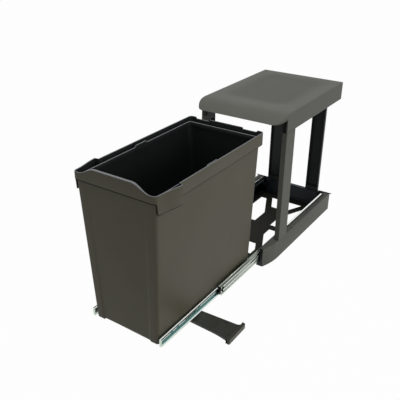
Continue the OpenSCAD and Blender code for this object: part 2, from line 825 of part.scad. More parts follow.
module outer_rail_right() { outer_rail(); }
module outer_rail_left() { mirror([1, 0, 0]) outer_rail(); }
module middle_rail_right() { middle_rail(); }
module middle_rail_left() { mirror([1, 0, 0]) middle_rail(); }
module inner_rail_right() { inner_rail(); }
module inner_rail_left() { mirror([1, 0, 0]) inner_rail(); }
module middle_stop_right() { middle_stop(); }
module middle_stop_left() { mirror([1, 0, 0]) middle_stop(); }
module outer_cage_right() { outer_cage(); }
module outer_cage_left() { mirror([1, 0, 0]) outer_cage(); }
module inner_cage_right() { inner_cage(); }
module inner_cage_left() { mirror([1, 0, 0]) inner_cage(); }
module outer_balls_right() { ball_rows(outer_u, outer_w, outer_cage_y, outer_cage_l); }
module outer_balls_left() { mirror([1, 0, 0]) outer_balls_right(); }
module inner_balls_right() { ball_rows(inner_u, inner_w, inner_cage_y, inner_cage_l); }
module inner_balls_left() { mirror([1, 0, 0]) inner_balls_right(); }

// Countersunk screws, flush with the back of the outer rails
module rail_screws() {
    color(zinc) both_sides() for (y = rail_screw_ys) {
        translate([rail_x, y, slide_z]) rotate([0, -90, 0])
            cylinder(d1 = rail_screw_d, d2 = rail_head_d, h = outer_t);
        peg_x([rail_x - eps, y, slide_z], rail_screw_d, rail_screw_l - 1);
    }
}

// Rubber stops at the back of the outer rails, which the closed inner rails meet
module closing_stops() {
    stop_y = closed_tail_y + stop_gap;
    color(black_plastic) both_sides() slide_run(stop_y, outer_rail_y + slide_l - stop_y)
        translate([outer_t, -inner_w / 2]) square([inner_web_u - outer_t, inner_w]);
}

// Carriage

// Sheet strap that runs under the bin and turns up against both inner rails
module strap(y, w) {
    difference() {
        union() {
            block([-strap_x, y - w / 2, strap_z], [strap_x, y + w / 2, bin_z]);
            both_sides() block([strap_x - strap_t, y - w / 2, strap_z],
                               [strap_x, y + w / 2, strap_z + strap_flange_h]);
        }
        both_sides() for (s = [-1, 1] * rivet_pitch / 2)
            peg_x([strap_x - strap_t - 1, y + s, slide_z], rivet_d, strap_t + 2);
    }
}

module front_strap() { color(zinc) strap(strap_ys[0], strap_w); }
module rear_strap() { color(zinc) strap(strap_ys[1], strap_w); }

module arm_bracket() {
    color(zinc) difference() {
        union() {
            strap(strap_ys[2], bracket_w);
            translate([arm_pivot_x, arm_y, boss_bottom_z])
                cylinder(d = pivot_boss_d, h = strap_z - boss_bottom_z + eps);
        }
        translate([arm_pivot_x, arm_y, boss_bottom_z - 1]) cylinder(d = pin_d, h = bin_z);
    }
}

module strap_rivets() {
    x0 = strap_x - strap_t;
    color(zinc) both_sides() for (y = strap_ys, s = [-1, 1] * rivet_pitch / 2) {
        peg_x([x0 - rivet_head_h, y + s, slide_z], rivet_head_d, rivet_head_h);
        peg_x([x0 - eps, y + s, slide_z], rivet_d, strap_t + rail_t + 2 * eps);
        peg_x([strap_x + rail_t, y + s, slide_z], rivet_head_d, rivet_head_h);
    }
}

// Bin, lofted through rings of stations that run once around its rounded rectangle

function blend(t) = let (c = min(1, max(0, t))) c * c * (3 - 2 * c);
front_foot_y = collar_front + collar_r + foot_len;
rear_foot_y = collar_rear - collar_r - foot_len;
side_ys = concat(
    [for (i = [0:4]) front_foot_y + (flare_y - front_foot_y) * i / 4],
    [flare_y + bin_wall / 3, flare_y + bin_l * 0.15, collar_rear - bin_l * 0.3, rear_foot_y]
);
hump_xs = [for (t = [0, 0.25, 0.5, 0.75, 1]) hump_half + (foot_run - bin_wall / 2 - hump_half) * t];
half_front_xs = concat([hump_half * 0.45], hump_xs, [foot_run + bin_wall / 2, hump_end]);
front_xs = concat([for (i = [len(half_front_xs) - 1:-1:0]) -half_front_xs[i]], [0], half_front_xs);
half_rear_xs = [rear_tab_half, rear_tab_half + bin_wall, hump_end - bin_r, hump_end];
rear_xs = concat([for (i = [3:-1:0]) half_rear_xs[i]], [0], [for (x = half_rear_xs) -x]);
corner_steps = 4;
stations = concat(
    [for (y = side_ys) ["side", 1, y]],
    [for (i = [0:corner_steps]) ["corner", [1, 1], 90 * i / corner_steps]],
    [for (x = rear_xs) ["end", 1, x]],
    [for (i = [0:corner_steps]) ["corner", [-1, 1], 90 + 90 * i / corner_steps]],
    [for (i = [len(side_ys) - 1:-1:0]) ["side", -1, side_ys[i]]],
    [for (i = [0:corner_steps]) ["corner", [-1, -1], 180 + 90 * i / corner_steps]],
    [for (x = front_xs) ["end", -1, x]],
    [for (i = [0:corner_steps]) ["corner", [1, -1], 270 + 90 * i / corner_steps]]
);

function is_front(st) = st[0] == "corner" ? st[1][1] < 0 : st[0] == "end" && st[1] < 0;
function is_rear(st) = st[0] == "end" && st[1] > 0;

// Share of the corner that has been turned, from the front face to the side
function corner_turn(st) = st[1][0] > 0 ? (st[2] - 270) / 90 : (270 - st[2]) / 90;

// Outward flare of the front band's ends at a station
function flare(st) =
    st[0] == "side" && st[2] <= flare_y
        ? flare_out * blend((st[2] - collar_front - collar_r) / (flare_end - collar_r)) : 0;

// Height of the collar's top edge at a station
function collar_top(st) =
    st[0] == "end" && st[1] < 0
        ? front_corner_z + (collar_z + hump_rise - front_corner_z)
            * blend((hump_end - abs(st[2])) / (hump_end - hump_half)) :
    is_front(st) ? front_corner_z :
    is_rear(st) && abs(st[2]) > rear_tab_half && abs(st[2]) < hump_end - bin_r / 2 ? collar_z - rear_dip : collar_z;

// Height of the collar's lower edge at a station
function collar_low(st) =
    st[0] == "end" && st[1] < 0 ? front_low_z :
    is_front(st) ? front_low_z + (collar_low_z - flare_drop - front_low_z) * blend(corner_turn(st)) :
    st[0] == "side" && st[2] <= flare_y ? collar_low_z - flare_drop : collar_low_z;

// Whether a station stands on one of the four corner feet
function on_foot(st) =
    st[0] == "corner" ? true :
    st[0] == "end" ? abs(st[2]) > foot_run :
    st[2] <= front_foot_y || st[2] >= rear_foot_y;

// Point of a station on a rounded rectangle with half width a, from yf to yr, and corner radius r
function on_ring(st, a, yf, yr, r) =
    st[0] == "side" ? [st[1] * a, st[2]] :
    st[0] == "end" ? [st[2] * (a - r) / (collar_half - collar_r), st[1] < 0 ? yf : yr] :
    [st[1][0] * (a - r) + r * cos(st[2]), (st[1][1] < 0 ? yf + r : yr - r) + r * sin(st[2])];

// Ring of the body at a height, drawn in by an inset
function body_ring(z, inset, lift) =
    let (t = (z - bin_z) / (rim_z - bin_z),
         a = bottom_half + (body_top_half - bottom_half) * t - inset,
         yf = collar_front + collar_front_gap + front_lean * (1 - t) + inset,
         yr = collar_rear - collar_rear_gap - inset - 2 * (1 - t))
    [for (st = stations)
        let (p = on_ring(st, a, yf, yr, bin_r - inset),
             panel = is_front(st) && !on_foot(st) && lift ? panel_in * (1 - t) : 0,
             rise = lift && !on_foot(st) && t < 0.1 ? foot_h : 0)
        [p[0], p[1] + panel, z + rise]];

// Ring of the inner rim at a height, drawn in by an inset
function rim_ring(z, inset) =
    [for (st = stations)
        let (p = on_ring(st, collar_half - rim_side_gap - inset, collar_front + rim_front_gap + inset,
                         collar_rear - rim_rear_gap - inset, bin_r - inset))
        [p[0], p[1], z]];

// Extra thickness of the front edge at a station
function ledge(st) =
    st[0] == "end" && st[1] < 0
        ? hump_ledge * blend((hump_end - abs(st[2])) / (hump_end - hump_half)) : 0;

// Ring of the collar, drawn in by an inset, at the heights that a list gives for the stations
function collar_ring(inset, heights, thicker = 0) =
    [for (i = [0:len(stations) - 1])
        let (st = stations[i],
             p = on_ring(st, collar_half - inset + flare(st), collar_front + inset, collar_rear - inset,
                         collar_r - inset))
        [p[0], p[1] + thicker * ledge(st), heights[i]]];

bin_tops = [for (st = stations) collar_top(st)];
bin_lows = [for (st = stations) collar_low(st)];
flange_zs = [for (st = stations) channel_z - bin_wall];
channel_zs = [for (st = stations) channel_z];

module bin() {
    bottom_in_z = bin_z + foot_h + bin_wall;
    mid_z = (bin_z + rim_z) / 2;
    rings = [
        body_ring(bin_z, 2, true),
        body_ring(bin_z + 3, 0, true),
        body_ring(mid_z, 0, true),
        body_ring(channel_z - bin_wall, 0, false),
        collar_ring(bin_wall, flange_zs),
        collar_ring(bin_wall, bin_lows),
        collar_ring(0, bin_lows),
        collar_ring(0, bin_tops),
        collar_ring(bin_wall, bin_tops, 1),
        collar_ring(bin_wall, channel_zs, 1),
        rim_ring(channel_z, 0),
        rim_ring(rim_z, 0),
        rim_ring(rim_z, bin_wall),
        rim_ring(channel_z - bin_wall, bin_wall),
        body_ring(channel_z - bin_wall, bin_wall, false),
        body_ring(mid_z, bin_wall, false),
        body_ring(bottom_in_z, bin_wall + 1, false)
    ];
    n = len(stations);
    last = (len(rings) - 1) * n;
    mid_y = (collar_front + collar_rear) / 2;
    points = concat([for (ring = rings) for (p = ring) p],
                    [[0, mid_y, bin_z + foot_h], [0, mid_y, bottom_in_z]]);
    walls = [for (k = [0:len(rings) - 2], i = [0:n - 1]) let (j = (i + 1) % n, a = k * n, b = a + n)
        each [[a + i, b + i, b + j], [a + i, b + j, a + j]]];
    under = [for (i = [0:n - 1]) [len(points) - 2, i, (i + 1) % n]];
    inside = [for (i = [0:n - 1]) [len(points) - 1, last + (i + 1) % n, last + i]];
    color(charcoal) polyhedron(points, concat(walls, under, inside), convexity = 8);
}

// Door arm

// Plan of the arm, narrowed by an inset, with the pivot at the origin
module arm_plan(inset) {
    root_r = arm_root_w / 2 - inset;
    end_x = arm_l - head_t - inset + eps;
    circle(root_r);
    polygon([[0, -root_r], [end_x, inset - arm_end_w / 2], [end_x, arm_end_w / 2 - inset], [0, root_r]]);
}

// Plan of the arm's head, with rounded ends
module head_plan() {
    r = head_t / 2 - 1;
    x0 = arm_l - head_t;
    translate([x0, r - head_w / 2]) square([head_t, head_w - 2 * r]);
    translate([x0 + r, -head_w / 2]) square([head_t - 2 * r, head_w]);
    for (x = [x0 + r, arm_l - r], y = [-1, 1] * (head_w / 2 - r)) translate([x, y]) circle(r);
}

module door_arm() {
    hub_d = pin_d + 10;
    color(black_plastic) translate([arm_pivot_x, arm_y, 0]) difference() {
        union() {
            translate([0, 0, arm_z]) linear_extrude(arm_t) arm_plan(0);
            translate([0, 0, head_z]) linear_extrude(head_h) head_plan();
        }
        difference() {
            translate([0, 0, arm_z + arm_t - recess_d]) linear_extrude(recess_d + eps) arm_plan(border_w);
            cylinder(d = hub_d, h = arm_z + arm_t);
        }
        translate([0, 0, arm_z - 1]) cylinder(d = pin_d + 2 * pin_clear, h = arm_t + 2);
        for (y = [-1, 1] * door_screw_pitch / 2)
            peg_x([arm_l - door_hole_l, y, arm_z + arm_t / 2 - recess_d / 2], door_hole_d, door_hole_l + eps);
    }
}

// Shouldered pin, headed under the arm and riveted flush in the bracket
module arm_pin() {
    color(zinc) translate([arm_pivot_x, arm_y, 0]) {
        translate([0, 0, arm_z - race_clear - pin_head_h]) cylinder(d = pin_head_d, h = pin_head_h);
        translate([0, 0, arm_z - race_clear - eps]) cylinder(d = pin_d, h = bin_z - arm_z + race_clear + eps);
    }
}

module arm_washer() {
    color(black_plastic) translate([arm_pivot_x, arm_y, boss_bottom_z - washer_t]) difference() {
        cylinder(d = pin_d + 9, h = washer_t);
        translate([0, 0, -1]) cylinder(d = pin_d, h = washer_t + 2);
    }
}

base_tray();
side_cover_left();
side_cover_right();
front_post_left();
front_post_right();
rear_post_left();
rear_post_right();
lid();
post_screws();
lid_screws();
outer_rail_left();
outer_rail_right();
rail_screws();
closing_stops();
middle_rail_left();
middle_rail_right();
middle_stop_left();
middle_stop_right();
outer_cage_left();
outer_cage_right();
outer_balls_left();
outer_balls_right();
inner_cage_left();
inner_cage_right();
inner_balls_left();
inner_balls_right();
inner_rail_left();
inner_rail_right();
front_strap();
rear_strap();
arm_bracket();
strap_rivets();
bin();
door_arm();
arm_pin();
arm_washer();
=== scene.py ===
"""Pull-out waste bin unit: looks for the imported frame, in metres."""

import json
import math

import bmesh
import bpy
from mathutils import Matrix, Vector

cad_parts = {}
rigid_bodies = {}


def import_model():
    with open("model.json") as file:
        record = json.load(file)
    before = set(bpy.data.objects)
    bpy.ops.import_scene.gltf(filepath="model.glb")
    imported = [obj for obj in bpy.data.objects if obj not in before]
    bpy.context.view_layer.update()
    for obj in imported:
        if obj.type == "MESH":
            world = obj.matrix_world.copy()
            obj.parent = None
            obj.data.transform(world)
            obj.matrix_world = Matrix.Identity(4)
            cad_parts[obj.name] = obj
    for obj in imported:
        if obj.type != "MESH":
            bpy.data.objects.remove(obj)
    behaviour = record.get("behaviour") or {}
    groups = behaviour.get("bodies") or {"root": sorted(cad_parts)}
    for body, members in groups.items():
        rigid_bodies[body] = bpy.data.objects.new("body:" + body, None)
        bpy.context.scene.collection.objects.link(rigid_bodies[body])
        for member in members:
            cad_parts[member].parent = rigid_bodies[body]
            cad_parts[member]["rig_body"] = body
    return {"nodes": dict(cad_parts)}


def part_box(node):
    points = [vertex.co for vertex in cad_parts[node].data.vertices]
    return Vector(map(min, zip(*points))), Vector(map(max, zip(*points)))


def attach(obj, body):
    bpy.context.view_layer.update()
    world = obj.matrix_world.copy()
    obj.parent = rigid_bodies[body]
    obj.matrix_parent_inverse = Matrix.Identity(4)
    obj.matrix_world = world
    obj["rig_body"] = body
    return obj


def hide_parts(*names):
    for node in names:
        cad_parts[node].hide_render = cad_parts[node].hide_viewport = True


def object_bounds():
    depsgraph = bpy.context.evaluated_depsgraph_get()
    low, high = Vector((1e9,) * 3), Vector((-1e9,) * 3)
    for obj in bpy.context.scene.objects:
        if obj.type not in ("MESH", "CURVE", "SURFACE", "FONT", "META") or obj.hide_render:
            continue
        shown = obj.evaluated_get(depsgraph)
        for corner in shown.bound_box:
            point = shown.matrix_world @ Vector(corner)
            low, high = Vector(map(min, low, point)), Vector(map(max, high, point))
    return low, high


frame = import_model()
cad_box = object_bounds()
nodes = frame["nodes"]
MM = 0.001
# Sign of x on each side of the unit
HAND = {"left": -1, "right": 1}
# Edges sharper than this many degrees stay sharp in the shading
SHARP = 38
# A face looks along an axis when its normal has this share of it
FACING = 0.9


# Colour and node helpers

def linear(hex_colour):
    """sRGB hex to the linear colour that the shader sockets take."""
    parts = [int(hex_colour[i:i + 2], 16) / 255 for i in (1, 3, 5)]
    flat = [c / 12.92 if c <= 0.04045 else ((c + 0.055) / 1.055) ** 2.4 for c in parts]
    return (*flat, 1.0)


def add(tree, kind, settings=None, **links):
    """Adds a node, sets its properties and sockets, and links the sockets given as outputs."""
    node = tree.nodes.new(kind)
    for name, value in (settings or {}).items():
        if hasattr(node, name):
            setattr(node, name, value)
        else:
            node.inputs[name].default_value = value
    for name, source in links.items():
        tree.links.new(source, node.inputs[name.replace("_", " ")])
    return node


# Finishes

def finish(name):
    """A new material with its shader, ready for the pattern that a finish adds."""
    material = bpy.data.materials.new(name)
    material.use_nodes = True
    tree = material.node_tree
    shader = tree.nodes["Principled BSDF"]
    place = add(tree, "ShaderNodeTexCoord").outputs["Object"]
    return material, tree, shader, place


def moulded_polypropylene(name, dark, light, roughness, sheen=0.28, seam_mm=6, seam=0.45, open_at=0.85,
                          panel=1.0):
    """Moulded polypropylene with a spark-eroded grain: a soft, dry sheen over an even colour.

    The real grain is about 0.2 mm, too fine to show, so it is drawn at 1.6 mm. A panel marked on the
    mesh by a point attribute of its own is darkened with painted shade: panel is its brightness there.
    The seams are darkened with painted shade, up to seam_mm from them: seam is the brightness there,
    and a face is clear of them once open_at of the view from it is open.
    """
    grain_mm, drift_mm, grain_deep_mm, seam_range = 1.6, 90, 0.2, 0.5
    material, tree, shader, place = finish(name)
    shader.inputs["IOR"].default_value = 1.49
    shader.inputs["Specular IOR Level"].default_value = sheen
    grain = add(tree, "ShaderNodeTexNoise", {"Scale": 1 / (grain_mm * MM), "Detail": 2.0}, Vector=place)
    drift = add(tree, "ShaderNodeTexNoise", {"Scale": 1 / (drift_mm * MM), "Detail": 1.0}, Vector=place)
    both = add(tree, "ShaderNodeMix", {"Factor": 0.45}, A=grain.outputs["Fac"], B=drift.outputs["Fac"])
    tone = add(tree, "ShaderNodeValToRGB", Fac=both.outputs["Result"])
    tone.color_ramp.elements[0].position = 0.3
    tone.color_ramp.elements[0].color = linear(dark)
    tone.color_ramp.elements[1].position = 0.7
    tone.color_ramp.elements[1].color = linear(light)
    # Painted shade: a point attribute marks the lid's dish, which is darkened to panel
    deep = add(tree, "ShaderNodeAttribute", {"attribute_name": "painted_dish_shade"})
    shade = add(tree, "ShaderNodeMapRange", {"To Min": 1.0, "To Max": panel}, Value=deep.outputs["Fac"])
    # Painted shade: the colour darkens where little of the view from a point is open, in seams and corners
    shelter = add(tree, "ShaderNodeAmbientOcclusion", {"Distance": seam_mm * MM, "samples": 8})
    seams = add(tree, "ShaderNodeMapRange", {"From Min": open_at - seam_range, "From Max": open_at,
                                             "To Min": seam, "To Max": 1.0}, Value=shelter.outputs["AO"])
    both_shades = add(tree, "ShaderNodeMath", {"operation": "MULTIPLY"})
    tree.links.new(shade.outputs["Result"], both_shades.inputs[0])
    tree.links.new(seams.outputs["Result"], both_shades.inputs[1])
    shaded = add(tree, "ShaderNodeVectorMath", {"operation": "SCALE"}, Scale=both_shades.outputs["Value"])
    tree.links.new(tone.outputs["Color"], shaded.inputs[0])
    tree.links.new(shaded.outputs["Vector"], shader.inputs["Base Color"])
    dryness = add(tree, "ShaderNodeMapRange",
                  {"To Min": roughness - 0.05, "To Max": roughness + 0.07}, Value=grain.outputs["Fac"])
    tree.links.new(dryness.outputs["Result"], shader.inputs["Roughness"])
    bump = add(tree, "ShaderNodeBump", {"Strength": 0.12, "Distance": grain_deep_mm * MM},
               Height=grain.outputs["Fac"])
    tree.links.new(bump.outputs["Normal"], shader.inputs["Normal"])
    return material


def zinc_plated_steel(name, upright, sloped, flat, roughness):
    """Roll-formed steel with a blue zinc plating: faces that stand upright keep the plating's tint, and
    the more a face turns up, the more it pales to bright metal, a painted highlight of the light from above.
    Fine rolling lines run along it."""
    line_mm, run_mm = 3, 200
    material, tree, shader, place = finish(name)
    shader.inputs["Metallic"].default_value = 1.0
    facing = add(tree, "ShaderNodeSeparateXYZ", Vector=add(tree, "ShaderNodeNewGeometry").outputs["Normal"])
    turn = add(tree, "ShaderNodeMapRange", {"From Min": -1.0, "From Max": 1.0}, Value=facing.outputs["Z"])
    # Painted light: the colour follows which way a face turns, pale facing up and darker turned down
    plating = add(tree, "ShaderNodeValToRGB", Fac=turn.outputs["Result"])
    stops = plating.color_ramp.elements
    stops[0].position, stops[0].color = 0.2, linear(sloped)
    stops[1].position, stops[1].color = 0.95, linear(flat)
    for position, tint in ((0.42, upright), (0.56, upright), (0.75, sloped)):
        stops.new(position).color = linear(tint)
    # Rolling lines, as far apart as they need to be to show
    across, along = 1 / (line_mm * MM), 1 / (run_mm * MM)
    stretch = add(tree, "ShaderNodeMapping", {"Scale": (across, along, across)}, Vector=place)
    lines = add(tree, "ShaderNodeTexNoise", {"Scale": 1.0, "Detail": 1.0}, Vector=stretch.outputs["Vector"])
    drawn = add(tree, "ShaderNodeMapRange", {"To Min": 0.92, "To Max": 1.05}, Value=lines.outputs["Fac"])
    tone = add(tree, "ShaderNodeVectorMath", {"operation": "SCALE"}, Scale=drawn.outputs["Result"])
    tree.links.new(plating.outputs["Color"], tone.inputs[0])
    tree.links.new(tone.outputs["Vector"], shader.inputs["Base Color"])
    haze = add(tree, "ShaderNodeMapRange",
               {"To Min": roughness - 0.04, "To Max": roughness + 0.06}, Value=lines.outputs["Fac"])
    tree.links.new(haze.outputs["Result"], shader.inputs["Roughness"])
    return material


def stop_rubber(name):
    """Cut rubber: black, dull, with a slight bloom of chalk."""
    bloom_mm, bloom_deep_mm = 3, 0.2
    material, tree, shader, place = finish(name)
    shader.inputs["IOR"].default_value = 1.52
    shader.inputs["Roughness"].default_value = 0.85
    chalk = add(tree, "ShaderNodeTexNoise", {"Scale": 1 / (bloom_mm * MM), "Detail": 3.0}, Vector=place)
    tone = add(tree, "ShaderNodeValToRGB", Fac=chalk.outputs["Fac"])
    tone.color_ramp.elements[0].color = linear("#121313")
    tone.color_ramp.elements[1].color = linear("#262726")
    tree.links.new(tone.outputs["Color"], shader.inputs["Base Color"])
    bump = add(tree, "ShaderNodeBump", {"Strength": 0.2, "Distance": bloom_deep_mm * MM},
               Height=chalk.outputs["Fac"])
    tree.links.new(bump.outputs["Normal"], shader.inputs["Normal"])
    return material


# The lid's dish is darkened to panel 0.7 with painted shade
charcoal = moulded_polypropylene("charcoal_polypropylene", "#5f6059", "#666760", 0.55, 0.18, panel=0.7)
# Strong painted shade in the seams, such as under the collar and above the rails
bin_charcoal = moulded_polypropylene("bin_polypropylene", "#4a4738", "#514e3e", 0.5,
                                     seam_mm=12, seam=0.15, open_at=0.93)
# Painted highlight: a lighter, bluish grey on the collar's top edges and the bead, where the rim catches the
# overhead light
painted_rim_highlight = moulded_polypropylene("painted_rim_highlight_polypropylene", "#717477", "#797c7f", 0.42, seam_mm=2)
# Painted shade: the tub's inside and trough, near black where they lie in shadow
inside_painted_shade = moulded_polypropylene("bin_inside_painted_shade_polypropylene", "#161919", "#1c1f1f", 0.42, 0.4)
# Painted shade for the shadow line along the collar's lower edge; also the dull black of the stop lugs
shaded = moulded_polypropylene("shaded_polypropylene", "#1c1d19", "#22231e", 0.85, 0.05)
# Painted shade: the tray's walls, dark and bluish where they lie in shadow
tray_painted_shade = moulded_polypropylene("tray_painted_shade_polypropylene", "#141b1f", "#1a2226", 0.5)
tray_floor = moulded_polypropylene("tray_floor_polypropylene", "#22211a", "#292820", 0.55, 0.15)
# Black plastic of the rear posts, stops and post tongues; it is also painted shade on the side covers and the
# front posts' inner faces
black = moulded_polypropylene("black_polypropylene", "#131616", "#191d1c", 0.45, 0.22)
arm_black = moulded_polypropylene("arm_polypropylene", "#3c3d37", "#44453f", 0.42, seam_mm=3)
arm_end = moulded_polypropylene("arm_end_polypropylene", "#5b564a", "#645f52", 0.5, seam_mm=2)
blue_zinc = zinc_plated_steel("blue_zinc_steel", "#275f68", "#a9c6bb", "#e9efec", 0.28)
teal_zinc = zinc_plated_steel("teal_zinc_steel", "#74a09a", "#8fb5ab", "#e9efec", 0.28)
# Painted shade on zinc: the outer rails' inner faces, the rails' races, groove lines and cage slots
zinc_painted_shade = zinc_plated_steel("painted_shade_zinc_steel", "#0e1a1e", "#162226", "#232e30", 0.3)
pale_zinc = zinc_plated_steel("pale_zinc_steel", "#c9d3c8", "#d5dcd4", "#eef2ef", 0.28)
web_zinc = zinc_plated_steel("web_zinc_steel", "#949f91", "#a5ad9f", "#b4bbae", 0.3)
# Bright zinc of screws, cages and balls; on the rails' upward flanges and lips it is a painted highlight
bright_zinc_and_painted_highlight = zinc_plated_steel("bright_zinc_and_painted_highlight_steel", "#eff2ef", "#dfe5e1", "#f2f5f3", 0.2)
rubber = stop_rubber("stop_rubber")


# Pieces made from the frame's own solids

def smooth(obj, angle=SHARP):
    """Smooth shading that keeps the edges sharper than the angle."""
    obj.data.shade_smooth()
    obj.data.set_sharp_from_angle(angle=math.radians(angle))


def mesh_from(bm, name):
    """The mesh of a finished bmesh, which is freed."""
    mesh = bpy.data.meshes.new(name)
    bm.to_mesh(mesh)
    bm.free()
    return mesh


def put_back(bm, piece):
    """Gives a piece the changed copy of its mesh, which is freed."""
    bm.to_mesh(piece.data)
    bm.free()


def show(name, mesh, materials, body, node=None):
    """Puts a mesh in the scene as a piece that rides on a body, and stands for a node where it has one."""
    piece = bpy.data.objects.new(name, mesh)
    bpy.context.scene.collection.objects.link(piece)
    for finish_of_piece in materials:
        mesh.materials.append(finish_of_piece)
    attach(piece, body)
    if node:
        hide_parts(node)
    return piece


def round_edges(piece, radius_mm, segments=3, angle=SHARP):
    """Rounds the edges that are sharper than the angle."""
    bevel = piece.modifiers.new("rounded edges", "BEVEL")
    bevel.width = radius_mm * MM
    bevel.segments = segments
    bevel.limit_method = "ANGLE"
    bevel.angle_limit = math.radians(angle)
    bevel.harden_normals = True


def welded(node):
    """A copy of a solid's mesh with its flat faces in one piece each."""
    bm = bmesh.new()
    bm.from_mesh(nodes[node].data)
    bmesh.ops.remove_doubles(bm, verts=bm.verts, dist=0.002 * MM)
    bmesh.ops.dissolve_limit(bm, angle_limit=math.radians(1.0), verts=bm.verts, edges=bm.edges)
    return bm


def softened(node, radius_mm, material):
    """A copy of a solid with moulded, rounded edges in place of knife edges."""
    mesh = mesh_from(welded(node), node + "_rounded")
    piece = show(node + "_moulded", mesh, [material], nodes[node]["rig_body"], node)
    smooth(piece)
    round_edges(piece, radius_mm)
    return piece


def dress(node, material):
    """Gives a solid that is shown as it is its finish."""
    materials = nodes[node].data.materials
    materials.clear()
    materials.append(material)
    smooth(nodes[node])


# Lid

def ease(t):
    """Smooth step from 0 to 1."""
    t = min(max(t, 0), 1)
    return t * t * (3 - 2 * t)


def spread(a, b, count):
    """Evenly spaced values from a to b, both included."""
    return [a + (b - a) * i / (count - 1) for i in range(count)]


def lid():
    """The lid: a moulded shell with a rolled front lip, rounded edges and a soft dish in its top."""
    low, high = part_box("lid")
    half_w, lip_y, rear_y, top, skirt_z = (v / MM for v in (high.x, low.y, high.y, high.z, low.z))
    post_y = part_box("front_post_right")[0].y / MM
    lip_run, lip_drop, cheek_rise = 54, 21, 8
    corner_w, corner_l = 24, 40
    edge_r, front_edge_r, wall, thick, seam = 2.0, 0.8, 3, 4.5, 0.7
    nub_x, nub_y, nub_r, nub_h = 92, 2.2, 1.4, 1.0
    dish_margin, dish_slope, dish_r, dish_depth = 13, 46, 60, 2.6
    lip_r = (lip_run ** 2 + lip_drop ** 2) / (2 * lip_drop)
    lip_angle = math.asin(lip_run / lip_r)
    start_y = lip_y + lip_run
    lip_z = top - lip_drop

    def dish(x, y):
        """Depth of the dish: a rounded rectangle that eases in from its rim."""
        reach_x = half_w - dish_margin
        mid_y = (start_y + rear_y) / 2
        reach_y = (rear_y - start_y) / 2 - dish_margin
        qx = max(abs(x) - reach_x + dish_r, 0)
        qy = max(abs(y - mid_y) - reach_y + dish_r, 0)
        inner = min(max(abs(x) - reach_x + dish_r, abs(y - mid_y) - reach_y + dish_r), 0)
        depth_in = dish_r - math.hypot(qx, qy) - inner
        return dish_depth * ease(depth_in / dish_slope)

    def lower_edge(y):
        """Height of the lid's lower edge along its depth."""
        return skirt_z + seam if y >= post_y else lip_z + cheek_rise * (y - lip_y) / (post_y - lip_y)

    # Each row across the lid: its place along the depth, top height, half width and edge radius
    rows = []
    steps = 16
    for i in range(steps + 1):
        a = lip_angle * (1 - i / steps)
        y = start_y - lip_r * math.sin(a)
        reach = min(max((lip_y + corner_l - y) / corner_l, 0), 1)
        w = half_w - corner_w + corner_w * math.sqrt(1 - reach ** 2)
        r = front_edge_r + (edge_r - front_edge_r) * i / steps
        rows.append((y, top - lip_r * (1 - math.cos(a)), w, r))
    # Two close rows where the lower edge steps down to the skirt at the post
    step = next(i for i, row in enumerate(rows) if row[0] > post_y)
    before, after = rows[step - 1], rows[step]
    t = (post_y - before[0]) / (after[0] - before[0])
    at_post = [b + (a - b) * t for b, a in zip(before[1:], after[1:])]
    rows[step:step] = [(post_y - 0.1, *at_post), (post_y + 0.1, *at_post)]
    deep = 22
    for i in range(1, deep + 1):
        rows.append((start_y + (rear_y - edge_r - start_y) * i / deep, top, half_w, edge_r))
    for i in range(1, 7):
        a = math.radians(15 * i)
        rows.append((rear_y - edge_r * (1 - math.sin(a)), top - edge_r * (1 - math.cos(a)),
                     half_w - edge_r * (1 - math.cos(a)), edge_r * math.cos(a)))

    turn = [math.radians(90 * i / 6) for i in range(7)]
    inner_share = [i / 26 for i in range(1, 26)]
    bm = bmesh.new()
    painted_dish_shade = bm.verts.layers.float.new("painted_dish_shade")
    shells = []
    for inner in (False, True):
        shell = []
        for y, z, w, r in rows:
            if inner:
                w, r = w - wall, max(r - wall, 0.4)
                z = max(z - thick, lower_edge(y) + 0.1)
                y = min(max(y, lip_y + wall), rear_y - wall)
            left = [(-w + r * (1 - math.cos(a)), z - r * (1 - math.sin(a))) for a in turn]
            flat = [(-w + r + 2 * (w - r) * s, z) for s in inner_share]
            line = left + flat + [(-x, h) for x, h in reversed(left)]
            if inner:
                line = [(x, max(h, lower_edge(y) + 0.05)) for x, h in line]
            shell.append([Vector((x, y, h - (0 if inner else dish(x, y)))) for x, h in line])
        shells.append(shell)
    rims = []
    for shell, inner in zip(shells, (False, True)):
        grid = [[bm.verts.new(p * MM) for p in line] for line in shell]
        # Painted shade: each point of the top records how deep in the dish it lies, and the lid's material
        # darkens it by that
        for line in grid if not inner else []:
            for v in line:
                v[painted_dish_shade] = dish(v.co.x / MM, v.co.y / MM) / dish_depth
        for a, b in zip(grid, grid[1:]):
            for i in range(len(a) - 1):
                bm.faces.new((a[i], a[i + 1], b[i + 1], b[i]))
        edge = [line[0] for line in grid] + grid[-1][1:-1]
        edge += [line[-1] for line in reversed(grid)] + list(reversed(grid[0][1:-1]))
        rim = []
        for v in edge:
            y = v.co.y / MM
            z = lower_edge(y) if not inner else min(lower_edge(y), v.co.z / MM)
            rim.append(bm.verts.new((v.co.x, v.co.y, z * MM)))
        for k in range(len(edge)):
            n = (k + 1) % len(edge)
            bm.faces.new((edge[k], edge[n], rim[n], rim[k]))
        rims.append(rim)
    outer, hollow = rims
    for k in range(len(outer)):
        n = (k + 1) % len(outer)
        bm.faces.new((outer[k], outer[n], hollow[n], hollow[k]))
    for x in (-nub_x, nub_x):
        middle = Matrix.Translation(Vector((x, lip_y + nub_y, lip_z - nub_h / 2)) * MM)
        bmesh.ops.create_cone(bm, cap_ends=True, segments=16, radius1=nub_r * 0.8 * MM, radius2=nub_r * MM,
                              depth=(nub_h + 0.4) * MM, matrix=middle)
    bmesh.ops.recalc_face_normals(bm, faces=bm.faces)
    mesh = mesh_from(bm, "lid_shell")
    piece = show("lid_shell", mesh, [charcoal], "base", "lid")
    smooth(piece, 32)


# Bin

